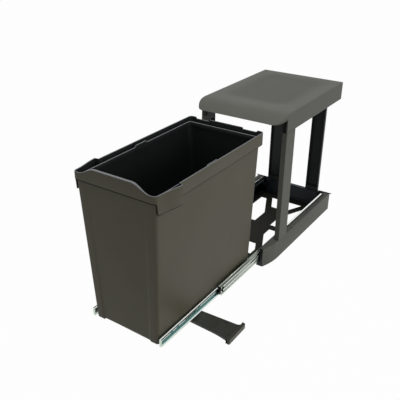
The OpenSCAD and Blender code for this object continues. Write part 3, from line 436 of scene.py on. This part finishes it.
def bin_shell():
    """The bin: a tapered tub in a collar, with a bead inside the collar, a hump on the front edge,
    flared band ends, clip tabs at mid side and corner feet."""
    low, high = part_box("bin")
    front, rear, floor_z = low.y / MM, high.y / MM, low.z / MM
    hump_rise, flare_out = 15, 9
    collar_half = high.x / MM - flare_out
    collar_z = high.z / MM - hump_rise
    wall, bead, bin_r, edge = 2.3, 3.0, 7, 0.7
    collar_r = bin_r + 2
    rim_z = collar_z - 8
    channel_z = rim_z - 7.5
    under_z = channel_z - wall
    low_z, front_low_z = collar_z - 31, collar_z - 18
    body_gap, rear_gap, front_lean = 3.5, 12, 10
    rim_side, rim_front, rim_rear = 8, 11, 16
    bottom_half, top_half = 87, collar_half - body_gap
    hump_half, hump_end, hump_ledge, tab_half, rear_dip = 46, 90, 4, 46, 4
    flare_l, flare_drop, front_chamfer, side_chamfer = 72, 11, 2.2, 1.5
    foot_run, foot_l, foot_h, panel_in = 78, 14, 3, 1.5
    clip_y, clip_half, clip_rise, groove = -430, 18, 4, 1.9
    rear_lean, inside_r, corner_start, corner_run = 2, bin_r + 6, 0.68, 0.2
    # Finishes: the outer wall, the inside in painted shade, the top edges in painted highlight, and a painted
    # shadow line under the collar
    outer_wall, inner_wall, painted_highlight_edge, shade = range(4)
    flare_y = front + flare_l
    front_foot_y = front + collar_r + foot_l
    rear_foot_y = rear - collar_r - foot_l

    # Stations once around the rounded rectangle: side places, corner angles and end places
    clip_ys = [clip_y + s * (clip_half + d) for s in (-1, 1) for d in ((2, 0) if s < 0 else (0, 2))]
    side_ys = spread(front_foot_y, flare_y, 9) + [flare_y + 1.6] + spread(flare_y + 10, clip_ys[0] - 8, 6)
    side_ys += clip_ys[:2] + spread(clip_y - 9, clip_y + 9, 3) + clip_ys[2:]
    side_ys += spread(clip_ys[3] + 8, rear_foot_y, 8)
    front_xs = spread(-hump_end, hump_end, 49)
    half_rear = [tab_half, tab_half + 2] + spread(tab_half + 9, hump_end - bin_r - 4, 5)
    half_rear += [hump_end - bin_r, hump_end - bin_r / 2 + 0.5, hump_end]
    rear_xs = list(reversed(half_rear)) + spread(tab_half - 8, 8 - tab_half, 7) + [-x for x in half_rear]
    bend = 8
    stations = [("side", 1, y) for y in side_ys]
    stations += [("corner", (1, 1), 90 * i / bend) for i in range(bend + 1)]
    stations += [("end", 1, x) for x in rear_xs]
    stations += [("corner", (-1, 1), 90 + 90 * i / bend) for i in range(bend + 1)]
    stations += [("side", -1, y) for y in reversed(side_ys)]
    stations += [("corner", (-1, -1), 180 + 90 * i / bend) for i in range(bend + 1)]
    stations += [("end", -1, x) for x in front_xs]
    stations += [("corner", (1, -1), 270 + 90 * i / bend) for i in range(bend + 1)]

    def at_front(st):
        return st[1][1] < 0 if st[0] == "corner" else st[0] == "end" and st[1] < 0

    def on_hump(st):
        """Share of the hump that a station has, from 0 at its ends to 1 on its flat top."""
        return ease((hump_end - abs(st[2])) / (hump_end - hump_half)) if st[0] == "end" and st[1] < 0 else 0

    def flare(st):
        if st[0] != "side" or st[2] > flare_y:
            return 0
        return flare_out * ease((st[2] - front - collar_r) / (flare_l - collar_r))

    def collar_top(st):
        dipped = st[0] == "end" and st[1] > 0 and tab_half < abs(st[2]) < hump_end - bin_r / 2
        return collar_z + hump_rise * on_hump(st) - (rear_dip if dipped else 0)

    def collar_low(st):
        if st[0] == "end" and st[1] < 0:
            return front_low_z
        if at_front(st):
            turn = (st[2] - 270) / 90 if st[1][0] > 0 else (270 - st[2]) / 90
            return front_low_z + (low_z - flare_drop - front_low_z) * ease((turn - corner_start) / corner_run)
        return low_z - flare_drop if st[0] == "side" and st[2] <= flare_y else low_z

    def collar_foot(st):
        """Top of the chamfer along the collar's lower edge, which carries a painted shadow line and is deeper
        on the front.
        """
        return collar_low(st) + (front_chamfer if at_front(st) else side_chamfer)

    def on_foot(st):
        if st[0] == "corner":
            return True
        return abs(st[2]) > foot_run if st[0] == "end" else st[2] <= front_foot_y or st[2] >= rear_foot_y

    def at_clip(st):
        return st[0] == "side" and abs(st[2] - clip_y) <= clip_half

    def on_ring(st, a, yf, yr, r):
        """Place of a station on a rounded rectangle: half width a, from yf to yr, corner radius r."""
        if st[0] == "side":
            return st[1] * a, st[2]
        if st[0] == "end":
            return st[2] * (a - r) / (collar_half - collar_r), yf if st[1] < 0 else yr
        t = math.radians(st[2])
        return st[1][0] * (a - r) + r * math.cos(t), (yf + r if st[1][1] < 0 else yr - r) + r * math.sin(t)

    def body_ring(z, inset, lift=False, inside=False):
        """Ring of the tub's wall: the outside stands on feet, the inside has a groove under each clip."""
        t = (z - floor_z) / (rim_z - floor_z)
        yf = front + body_gap + front_lean * (1 - t) + inset
        yr = rear - rear_gap - inset - rear_lean * (1 - t)
        half = bottom_half + (top_half - bottom_half) * t - inset
        ring = []
        for st in stations:
            a = half + (groove if inside and at_clip(st) else 0)
            x, y = on_ring(st, a, yf, yr, inside_r if inside else bin_r - inset)
            raised = lift and not on_foot(st)
            y += panel_in * (1 - t) if raised and at_front(st) else 0
            ring.append((x, y, z + (foot_h if raised and t < 0.05 else 0)))
        return ring

    def rim_ring(z, inset):
        """Ring of the bead inside the collar, raised at the clips."""
        ring = []
        for st in stations:
            x, y = on_ring(st, collar_half - rim_side - inset, front + rim_front + inset,
                           rear - rim_rear - inset, bin_r - inset)
            ring.append((x, y, z + (clip_rise if at_clip(st) and z > channel_z else 0)))
        return ring

    def collar_ring(inset, height, drop=0, thicker=0):
        ring = []
        for st in stations:
            half = collar_half - inset + flare(st)
            x, y = on_ring(st, half, front + inset, rear - inset, collar_r - inset)
            level = height if isinstance(height, (int, float)) else height(st)
            ring.append((x, y + thicker * on_hump(st), level - drop))
        return ring

    inside_z = floor_z + foot_h + wall
    outside = [body_ring(floor_z, 2, True), body_ring(floor_z + 3, 0, True)]
    outside += [body_ring(z, 0, True) for z in spread(floor_z + 40, under_z - 40, 5)]
    outside += [body_ring(under_z, 0), collar_ring(wall, under_z), collar_ring(wall, collar_low, -edge / 2)]
    outside += [collar_ring(wall - edge, collar_low), collar_ring(edge, collar_low)]
    outside += [collar_ring(0, collar_foot), collar_ring(0, collar_top, edge)]
    outside += [collar_ring(edge, collar_top), collar_ring(wall - edge, collar_top, 0, hump_ledge)]
    outside += [collar_ring(wall, collar_top, edge, hump_ledge)]
    trough = [collar_ring(wall, channel_z, 0, hump_ledge), rim_ring(channel_z, 0)]
    rounding = [math.radians(a) for a in (0, 30, 60, 90, 120, 150, 180)]
    beads = [rim_ring(rim_z - bead / 2 * (1 - math.sin(a)), bead / 2 * (1 - math.cos(a))) for a in rounding]
    inside = [rim_ring(under_z, bead), body_ring(under_z, wall, inside=True)]
    inside += [body_ring(z, wall, inside=True) for z in spread(under_z - 20, inside_z + 14, 6)]
    inside += [body_ring(inside_z + 4, wall + 1.2, inside=True), body_ring(inside_z, wall + 5, inside=True)]
    rings = outside + trough + beads + inside

    bm = bmesh.new()
    loops = [[bm.verts.new(Vector(p) * MM) for p in ring] for ring in rings]
    count = len(stations)
    edge_top = range(len(outside) - 4, len(outside) - 1)
    foot = len(outside) - 6
    bead_first = len(outside) + len(trough)
    bead_top = range(bead_first + 1, bead_first + 5)
    for k, (a, b) in enumerate(zip(loops, loops[1:])):
        finish_of_ring = inner_wall if k >= len(outside) - 1 else outer_wall
        if k in edge_top or k in bead_top:
            finish_of_ring = painted_highlight_edge
        # The chamfer under the collar carries a painted shadow line
        elif k == foot:
            finish_of_ring = shade
        for i in range(count):
            j = (i + 1) % count
            bm.faces.new((a[i], a[j], b[j], b[i])).material_index = finish_of_ring
    bm.faces.new(list(reversed(loops[0])))
    bm.faces.new(loops[-1]).material_index = inner_wall
    bmesh.ops.recalc_face_normals(bm, faces=bm.faces)
    mesh = mesh_from(bm, "bin_shell")
    finishes = [bin_charcoal, inside_painted_shade, painted_rim_highlight, shaded]
    piece = show("bin_shell", mesh, finishes, "carriage", "bin")
    smooth(piece, 30)


lid()
bin_shell()


# Frame, rails and arm

def cut(bm, plane_at, normal):
    """Cuts every face along a plane, so that a band of it can have a finish or a depth of its own."""
    parts = bm.verts[:] + bm.edges[:] + bm.faces[:]
    bmesh.ops.bisect_plane(bm, geom=parts, plane_co=plane_at, plane_no=normal)


def sink(bm, faces, depth_mm, border_mm=0.1):
    """Presses a patch of faces in, with a narrow sloped border."""
    if faces:
        bmesh.ops.inset_region(bm, faces=faces, thickness=border_mm * MM, depth=-depth_mm * MM,
                               use_even_offset=True)


def bridge(bm, ends):
    """Closes two matching outlines into a solid."""
    count = len(ends[0])
    for i in range(count):
        j = (i + 1) % count
        bm.faces.new((ends[0][i], ends[0][j], ends[1][j], ends[1][i]))
    for line in ends:
        bm.faces.new(line)
    bmesh.ops.recalc_face_normals(bm, faces=bm.faces)


def middle_rail(side):
    """A middle rail whose outer face has shallow sunk bands in finishes of painted highlight and painted
    shade, and the slot that holds the ball cage, darkened with painted shade.
    """
    node = "middle_rail_" + side
    low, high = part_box(node)
    middle = (low.z + high.z) / 2 / MM
    # Band finishes: the dark line bands and the slot are painted shade, the bright bands painted highlight
    pale, web, line, bright = range(4)
    # Lower edge of each band above the middle of the rail, its finish and how deep it is sunk
    bands = ((12.6, web, 0.0), (9.8, line, 0.4), (7.8, bright, 0.0), (-1.2, web, 0.4),
             (-4.1, bright, 0.0), (-10.0, web, 0.3), (-20.0, pale, 0.0))
    bm = welded(node)
    for edge, _, _ in bands[:-1]:
        cut(bm, (0, 0, (middle + edge) * MM), (0, 0, 1))
    slot_l, slot_gap, slot_low, slot_high, slot_deep = 40, 9, 0.6, 4.6, 0.6
    slot_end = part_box("base_tray")[0].y / MM - slot_gap
    slot_start = slot_end - slot_l
    for y in (slot_start, slot_end):
        cut(bm, (0, y * MM, 0), (0, 1, 0))
    for w in (slot_low, slot_high):
        cut(bm, (0, 0, (middle + w) * MM), (0, 0, 1))
    hand = HAND[side]
    reach = max(hand * v.co.x for v in bm.verts) - 0.2 * MM
    outer_face = [(f, f.calc_center_median() / MM) for f in bm.faces if f.normal.x * hand > 0.99]
    outer_face = [(f, at) for f, at in outer_face if hand * at.x * MM > reach]
    slot_faces = [f for f, at in outer_face
                  if slot_start < at.y < slot_end and slot_low < at.z - middle < slot_high]
    above = math.inf
    for edge, finish_of_band, depth in bands:
        band = [f for f, at in outer_face if edge < at.z - middle < above and f not in slot_faces]
        for face in band:
            face.material_index = finish_of_band
        if depth:
            sink(bm, band, depth)
        above = edge
    for face in slot_faces:
        face.material_index = line
    sink(bm, slot_faces, slot_deep)
    for face in bm.faces:
        if face.normal.y < -FACING:
            face.material_index = bright
        elif face.normal.z > 0.7:
            face.material_index = web
    mesh = mesh_from(bm, node + "_rolled")
    finishes = [pale_zinc, web_zinc, zinc_painted_shade, bright_zinc_and_painted_highlight]
    smooth(show(node + "_rolled", mesh, finishes, nodes[node]["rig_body"], node))


def stop_lug(side):
    """The bent lug of a middle rail's plastic stop, on the outer face at the rail's front end: its own dull
    black, with the shadow of the gap beside it painted in.
    """
    low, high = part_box("middle_rail_right")
    face, front, middle = high.x / MM, low.y / MM, (low.z + high.z) / 2 / MM
    half, proud, sunk = 2.6, 0.25, 0.6
    bends = [(5.6, 9.5), (10.6, 4.4), (5.2, -1.0), (10.2, -7.5)]
    hand = HAND[side]
    bm = bmesh.new()
    layers = []
    for x in (face - sunk, face + proud):
        edges = [[(front + y + d, middle + w) for y, w in bends] for d in (-half, half)]
        layers.append([[bm.verts.new(Vector((hand * x, y, z)) * MM) for y, z in line] for line in edges])
    for i in range(len(bends) - 1):
        corners = [layers[k][e][i + n] for k, e, n in ((0, 0, 0), (0, 1, 0), (0, 1, 1), (0, 0, 1),
                                                       (1, 0, 0), (1, 1, 0), (1, 1, 1), (1, 0, 1))]
        for ring in ((0, 1, 2, 3), (4, 5, 6, 7), (0, 3, 7, 4), (1, 2, 6, 5)):
            bm.faces.new([corners[k] for k in ring])
    for i in (0, -1):
        bm.faces.new((layers[0][0][i], layers[0][1][i], layers[1][1][i], layers[1][0][i]))
    bmesh.ops.recalc_face_normals(bm, faces=bm.faces)
    mesh = mesh_from(bm, "stop_lug_" + side)
    show("stop_lug_" + side, mesh, [shaded], "middle_" + side)


def rail_end(side):
    """The pale tab bent across the front end of an inner rail."""
    low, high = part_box("inner_rail_right")
    back, reach, bottom, top = (v / MM for v in (low.x, high.x, low.z, high.z))
    front, sheet, corner = low.y / MM, 0.9, 4.0
    turns = [math.radians(15 * i) for i in range(7)]
    outline = [(back, top), (back, bottom)]
    outline += [(reach - corner * (1 - math.sin(a)), bottom + corner * (1 - math.cos(a))) for a in turns]
    outline += [(reach - corner * (1 - math.cos(a)), top - corner * (1 - math.sin(a))) for a in turns]
    hand = HAND[side]
    bm = bmesh.new()
    ends = [[bm.verts.new(Vector((hand * x, y, z)) * MM) for x, z in outline]
            for y in (front - sheet, front)]
    bridge(bm, ends)
    mesh = mesh_from(bm, "rail_end_" + side)
    piece = show("rail_end_" + side, mesh, [pale_zinc], "carriage")
    smooth(piece)
    round_edges(piece, 0.25, 2)


def rail_toe(bm, side):
    """The low toe that closes the tray under an outer rail's front end, level with the cover's front."""
    rail_low, rail_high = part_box("outer_rail_right")
    tray_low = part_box("base_tray")[0]
    reach, taper, depth, gap = 9.5, 2.0, 15.0, 1.0
    front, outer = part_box("side_cover_right")[0].y / MM, rail_high.x / MM
    inner = outer - reach
    plan = [(inner, front), (outer, front), (outer, front + depth), (inner + taper, front + depth)]
    hand = HAND[side]
    toe = bmesh.new()
    ends = [[toe.verts.new(Vector((hand * x, y, z)) * MM) for x, y in plan]
            for z in (tray_low.z / MM, rail_low.z / MM - gap)]
    bridge(toe, ends)
    bm.from_mesh(mesh_from(toe, "rail_toe_" + side))


def base_tray():
    """The base tray: its walls in a dark, bluish painted shade, its floor browner in the plastic's own tone.
    """
    piece = softened("base_tray", 0.7, tray_painted_shade)
    bm = bmesh.new()
    bm.from_mesh(piece.data)
    for side in ("left", "right"):
        rail_toe(bm, side)
    put_back(bm, piece)
    smooth(piece)
    floor_h = 20
    floor_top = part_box("base_tray")[0].z + floor_h * MM
    for face in piece.data.polygons:
        # The floor keeps the plastic's own tone; every other face gets the painted shade
        face.material_index = int(face.normal.z > FACING and face.center.z < floor_top)
    piece.data.materials.append(tray_floor)


def inner_rail(side):
    """An inner rail: upper edge in a painted highlight, race in painted shade, blue web with a pale band, and
    pale lower flange.
    """
    node = "inner_rail_" + side
    low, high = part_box(node)
    middle = (low.z + high.z) / 2 / MM
    hand = HAND[side]
    back = min(abs(low.x), abs(high.x)) / MM
    sheet, race_shade, web_split, band_low = 1.15, 4.0, -4.0, -0.6
    pale, blue, teal, dark, bright = range(5)
    bm = welded(node)
    for split in (web_split, band_low):
        cut(bm, (0, 0, (middle + split) * MM), (0, 0, 1))
    # Upward faces get bright zinc as a painted highlight, the race gets dark zinc as painted shade
    for face in bm.faces:
        at = face.calc_center_median() / MM
        up, out, height = face.normal.z, face.normal.x * hand, at.z - middle
        if face.normal.y < -FACING or out < -0.5:
            finish_of_face = pale
        elif hand * at.x < back + sheet:
            web = pale if height > band_low else blue if height > web_split else teal
            finish_of_face = bright if up > 0.5 else web
        elif height > 0:
            finish_of_face = pale if up < 0.1 else dark if hand * at.x > back + race_shade else bright
        else:
            finish_of_face = teal if up > 0.1 and out < 0.8 else bright
        face.material_index = finish_of_face
    mesh = mesh_from(bm, node + "_rolled")
    finishes = [pale_zinc, blue_zinc, teal_zinc, zinc_painted_shade, bright_zinc_and_painted_highlight]
    smooth(show(node + "_rolled", mesh, finishes, nodes[node]["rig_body"], node))


def cover_edge():
    """The inner top edge of the right side cover: its x and z, and its run in y behind the post."""
    post_gap, rear_gap = 1, 14
    low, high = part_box("side_cover_right")
    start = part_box("front_post_right")[1].y / MM + post_gap
    return low.x / MM, high.z / MM, start, high.y / MM - rear_gap


def side_cover(side):
    """A side cover with the joint along its inner top edge, beside the rail's lip, sunk and darkened
    with painted shade, and its front face darkened with painted shade."""
    piece = softened(f"side_cover_{side}", 1.0, charcoal)
    bpy.context.view_layer.update()
    rounded = bpy.data.meshes.new_from_object(piece.evaluated_get(bpy.context.evaluated_depsgraph_get()))
    piece.modifiers.clear()
    inner, top, start, end = cover_edge()
    near, far, joint_deep, joint_border = inner + 2.8, inner + 6.4, 2.0, 0.05
    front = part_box("side_cover_right")[0].y + 1.5 * MM
    hand = HAND[side]
    bm = bmesh.new()
    bm.from_mesh(rounded)
    for x in (near, far):
        cut(bm, (hand * x * MM, 0, 0), (1, 0, 0))
    for y in (start, end):
        cut(bm, (0, y * MM, 0), (0, 1, 0))
    # Painted shade: the sunk joint gets the black finish of a shadowed gap
    joint = []
    for face in bm.faces:
        at = face.calc_center_median() / MM
        if face.normal.z > 0.99 and at.z > top - 0.2 and near < hand * at.x < far and start < at.y < end:
            joint.append(face)
            face.material_index = 1
    sink(bm, joint, joint_deep, joint_border)
    # Painted shade: the flat front face, turned away from the light, gets the black finish
    for face in bm.faces:
        if face.normal.y < -FACING and face.calc_center_median().y < front:
            face.material_index = 1
    put_back(bm, piece)
    piece.data.materials.append(black)
    smooth(piece)


def rail_lip(side):
    """The bright upper edge of an outer rail, folded outwards over the cover's edge behind the post."""
    inner, top, start, end = cover_edge()
    fold, leg, sheet, rise, toe = 2.4, 1.5, 1.0, 1.8, 0.2
    outline = [(inner - sheet, top - leg), (inner - sheet, top + rise), (inner + fold, top + toe),
               (inner + fold, top), (inner, top), (inner, top - leg)]
    hand = HAND[side]
    bm = bmesh.new()
    ends = [[bm.verts.new(Vector((hand * x, y, z)) * MM) for x, z in outline] for y in (start, end)]
    bridge(bm, ends)
    mesh = mesh_from(bm, "rail_lip_" + side)
    # The lip's bright zinc is a painted highlight; the outer rail beneath it is in painted shade
    piece = show("rail_lip_" + side, mesh, [bright_zinc_and_painted_highlight], "base")
    smooth(piece)
    round_edges(piece, 0.25, 2)


def door_arm():
    """The door arm: a smooth plate with a soft fold that flares into a thick head, paler on its end."""
    low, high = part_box("door_arm")
    end, middle = high.x / MM, (low.y + high.y) / 2 / MM
    head, root_half, end_half = 8, 19.5, 26
    length = (high.x - low.x) / MM - root_half - head
    plate_top, recess, step = 12, 2, 0.3
    front_run, back_run, front_flare, back_flare = 46, 9, 5, 6
    fold_at, fold_lean, fold_run, fold_deep = 34, 0.45, 11, 1.1
    bm = welded("door_arm")
    front_cuts, back_cuts, back_pitch = 8, 5, 1.5
    for i in range(1, front_cuts + 1):
        cut(bm, ((end - head - front_run * i / front_cuts) * MM, 0, 0), (1, 0, 0))
    for i in range(1, back_cuts + 1):
        cut(bm, ((end - head - back_pitch * i) * MM, 0, 0), (1, 0, 0))
    for d in (-fold_run, 0, fold_run):
        cut(bm, ((end - fold_at + d) * MM, middle * MM, 0), (1, fold_lean, 0))
    for v in bm.verts:
        x, y, z = v.co / MM
        d, side = end - head - x, y - middle
        off_fold = abs(x - (end - fold_at) + fold_lean * side)
        if abs(z - plate_top + recess) < 0.05 and d > 0.5:
            z = plate_top - step - fold_deep * max(1 - off_fold / fold_run, 0)
        half = root_half + (end_half - root_half) * (length - d) / length
        if d > -0.05 and abs(side) > 0.97 * half and d < length:
            run, flare = (front_run, front_flare) if side < 0 else (back_run, back_flare)
            y += math.copysign(flare * max(1 - d / run, 0) ** 2, side)
        v.co = Vector((x, y, z)) * MM
    for face in bm.faces:
        at_end = face.calc_center_median().x / MM > end - 0.2
        face.material_index = int(face.normal.x > FACING and at_end)
    mesh = mesh_from(bm, "door_arm_moulded")
    piece = show("door_arm_moulded", mesh, [arm_black, arm_end], "arm", "door_arm")
    smooth(piece, 50)
    round_edges(piece, 0.7, 2, 50)


def front_post(side):
    """A front post, grey up to the lid's skirt and black behind the skirt, with painted shade in black on its
    inner face.
    """
    hand = HAND[side]
    piece = softened(f"front_post_{side}", 0.8, charcoal)
    skirt_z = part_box("lid")[0].z
    bm = bmesh.new()
    bm.from_mesh(piece.data)
    cut(bm, (0, 0, skirt_z), (0, 0, 1))
    for face in bm.faces:
        behind_skirt = face.calc_center_median().z > skirt_z - 0.1 * MM
        # Black behind the skirt; the inner face's black is painted shade
        face.material_index = int(behind_skirt or face.normal.x * hand < -FACING)
    put_back(bm, piece)
    piece.data.materials.append(black)


for side in ("left", "right"):
    side_cover(side)
    front_post(side)
    rail_lip(side)
    softened(f"rear_post_{side}", 0.8, black)
    # Painted shade: the outer rail shows only its shaded inner faces
    dress(f"outer_rail_{side}", zinc_painted_shade)
    middle_rail(side)
    inner_rail(side)
    for cage in ("outer", "inner"):
        dress(f"{cage}_cage_{side}", bright_zinc_and_painted_highlight)
        dress(f"{cage}_balls_{side}", bright_zinc_and_painted_highlight)
    dress(f"middle_stop_{side}", black)
    stop_lug(side)
    rail_end(side)
base_tray()
door_arm()
for node in ("front_strap", "rear_strap", "arm_bracket"):
    dress(node, pale_zinc)
dress("strap_rivets", blue_zinc)
for node in ("post_screws", "lid_screws", "rail_screws", "arm_pin", "arm_washer"):
    dress(node, bright_zinc_and_painted_highlight)
dress("closing_stops", rubber)


# Studio

def seen_by_eye(tree):
    """1 for the rays that show the background: straight, mirrored or through glass."""
    path = add(tree, "ShaderNodeLightPath")
    either = add(tree, "ShaderNodeMath", {"operation": "MAXIMUM"})
    tree.links.new(path.outputs["Is Camera Ray"], either.inputs[0])
    tree.links.new(path.outputs["Is Glossy Ray"], either.inputs[1])
    any_of = add(tree, "ShaderNodeMath", {"operation": "MAXIMUM"})
    tree.links.new(either.outputs["Value"], any_of.inputs[0])
    tree.links.new(path.outputs["Is Transmission Ray"], any_of.inputs[1])
    return any_of.outputs["Value"]


def studio_floor():
    """A pale floor that the camera sees as white, with the object's soft shadow on it."""
    material = bpy.data.materials.new("pale_floor")
    material.use_nodes = True
    tree = material.node_tree
    shader = tree.nodes["Principled BSDF"]
    shader.inputs["Base Color"].default_value = linear("#b4b4b2")
    shader.inputs["Roughness"].default_value = 0.9
    seen = seen_by_eye(tree)
    white = add(tree, "ShaderNodeEmission", {"Strength": 1.0})
    share = add(tree, "ShaderNodeMath", {"operation": "MULTIPLY"})
    tree.links.new(seen, share.inputs[0])
    share.inputs[1].default_value = 0.98
    mixed = add(tree, "ShaderNodeMixShader", Fac=share.outputs["Value"])
    tree.links.new(shader.outputs["BSDF"], mixed.inputs[1])
    tree.links.new(white.outputs["Emission"], mixed.inputs[2])
    tree.links.new(mixed.outputs["Shader"], tree.nodes["Material Output"].inputs["Surface"])
    half, gap_mm = 30.0, 0.5
    mesh = bpy.data.meshes.new("studio_floor")
    corners = [(-half, -half, 0), (half, -half, 0), (half, half, 0), (-half, half, 0)]
    mesh.from_pydata(corners, [], [(0, 1, 2, 3)])
    mesh.materials.append(material)
    floor = bpy.data.objects.new("studio_floor", mesh)
    bpy.context.scene.collection.objects.link(floor)
    floor.location.z = cad_box[0].z - gap_mm * MM


def studio_world(ambient):
    """White for the eye, and an even, weaker light for the object."""
    world = bpy.data.worlds.new("studio")
    bpy.context.scene.world = world
    world.use_nodes = True
    tree = world.node_tree
    strength = add(tree, "ShaderNodeMapRange", {"To Min": ambient, "To Max": 1.0}, Value=seen_by_eye(tree))
    background = tree.nodes["Background"]
    background.inputs["Color"].default_value = (1, 1, 1, 1)
    tree.links.new(strength.outputs["Result"], background.inputs["Strength"])


def softbox(name, place, size, watts, aim):
    """A round lamp with soft edges, turned towards a point."""
    lamp = bpy.data.lights.new(name, "AREA")
    lamp.shape = "DISK"
    lamp.size = size
    lamp.energy = watts
    lamp_object = bpy.data.objects.new(name, lamp)
    bpy.context.scene.collection.objects.link(lamp_object)
    lamp_object.location = place
    lamp_object.rotation_euler = (Vector(aim) - Vector(place)).to_track_quat("-Z", "Y").to_euler()
    lamp_object.visible_camera = False


def photo_camera():
    """The photograph's viewpoint, in millimetres and degrees, for a 400 by 400 image."""
    place = Vector((679.0, -1347.3, 844.2)) * MM
    yaw, pitch = 34.65, 27.61
    image, focal, centre = 400, 573.8, (192.3, 205.1)
    camera = bpy.data.cameras.new("camera")
    camera.sensor_width = 36.0
    camera.lens = focal / image * camera.sensor_width
    camera.shift_x = (image / 2 - centre[0]) / image
    camera.shift_y = (centre[1] - image / 2) / image
    camera.clip_start = 0.05
    camera.clip_end = 100
    camera_object = bpy.data.objects.new("camera", camera)
    bpy.context.scene.collection.objects.link(camera_object)
    camera_object.location = place
    camera_object.rotation_euler = (math.radians(90 - pitch), 0, math.radians(yaw))
    bpy.context.scene.camera = camera_object


photo_camera()
studio_floor()
studio_world(ambient=0.22)
middle = (0, -0.2, 0.2)
softbox("overhead_softbox", (0.0, -0.5, 1.7), 1.0, 9.5, middle)
softbox("right_softbox", (2.2, -0.5, 0.9), 1.4, 16.5, middle)
bpy.context.scene.view_settings.view_transform = "Standard"
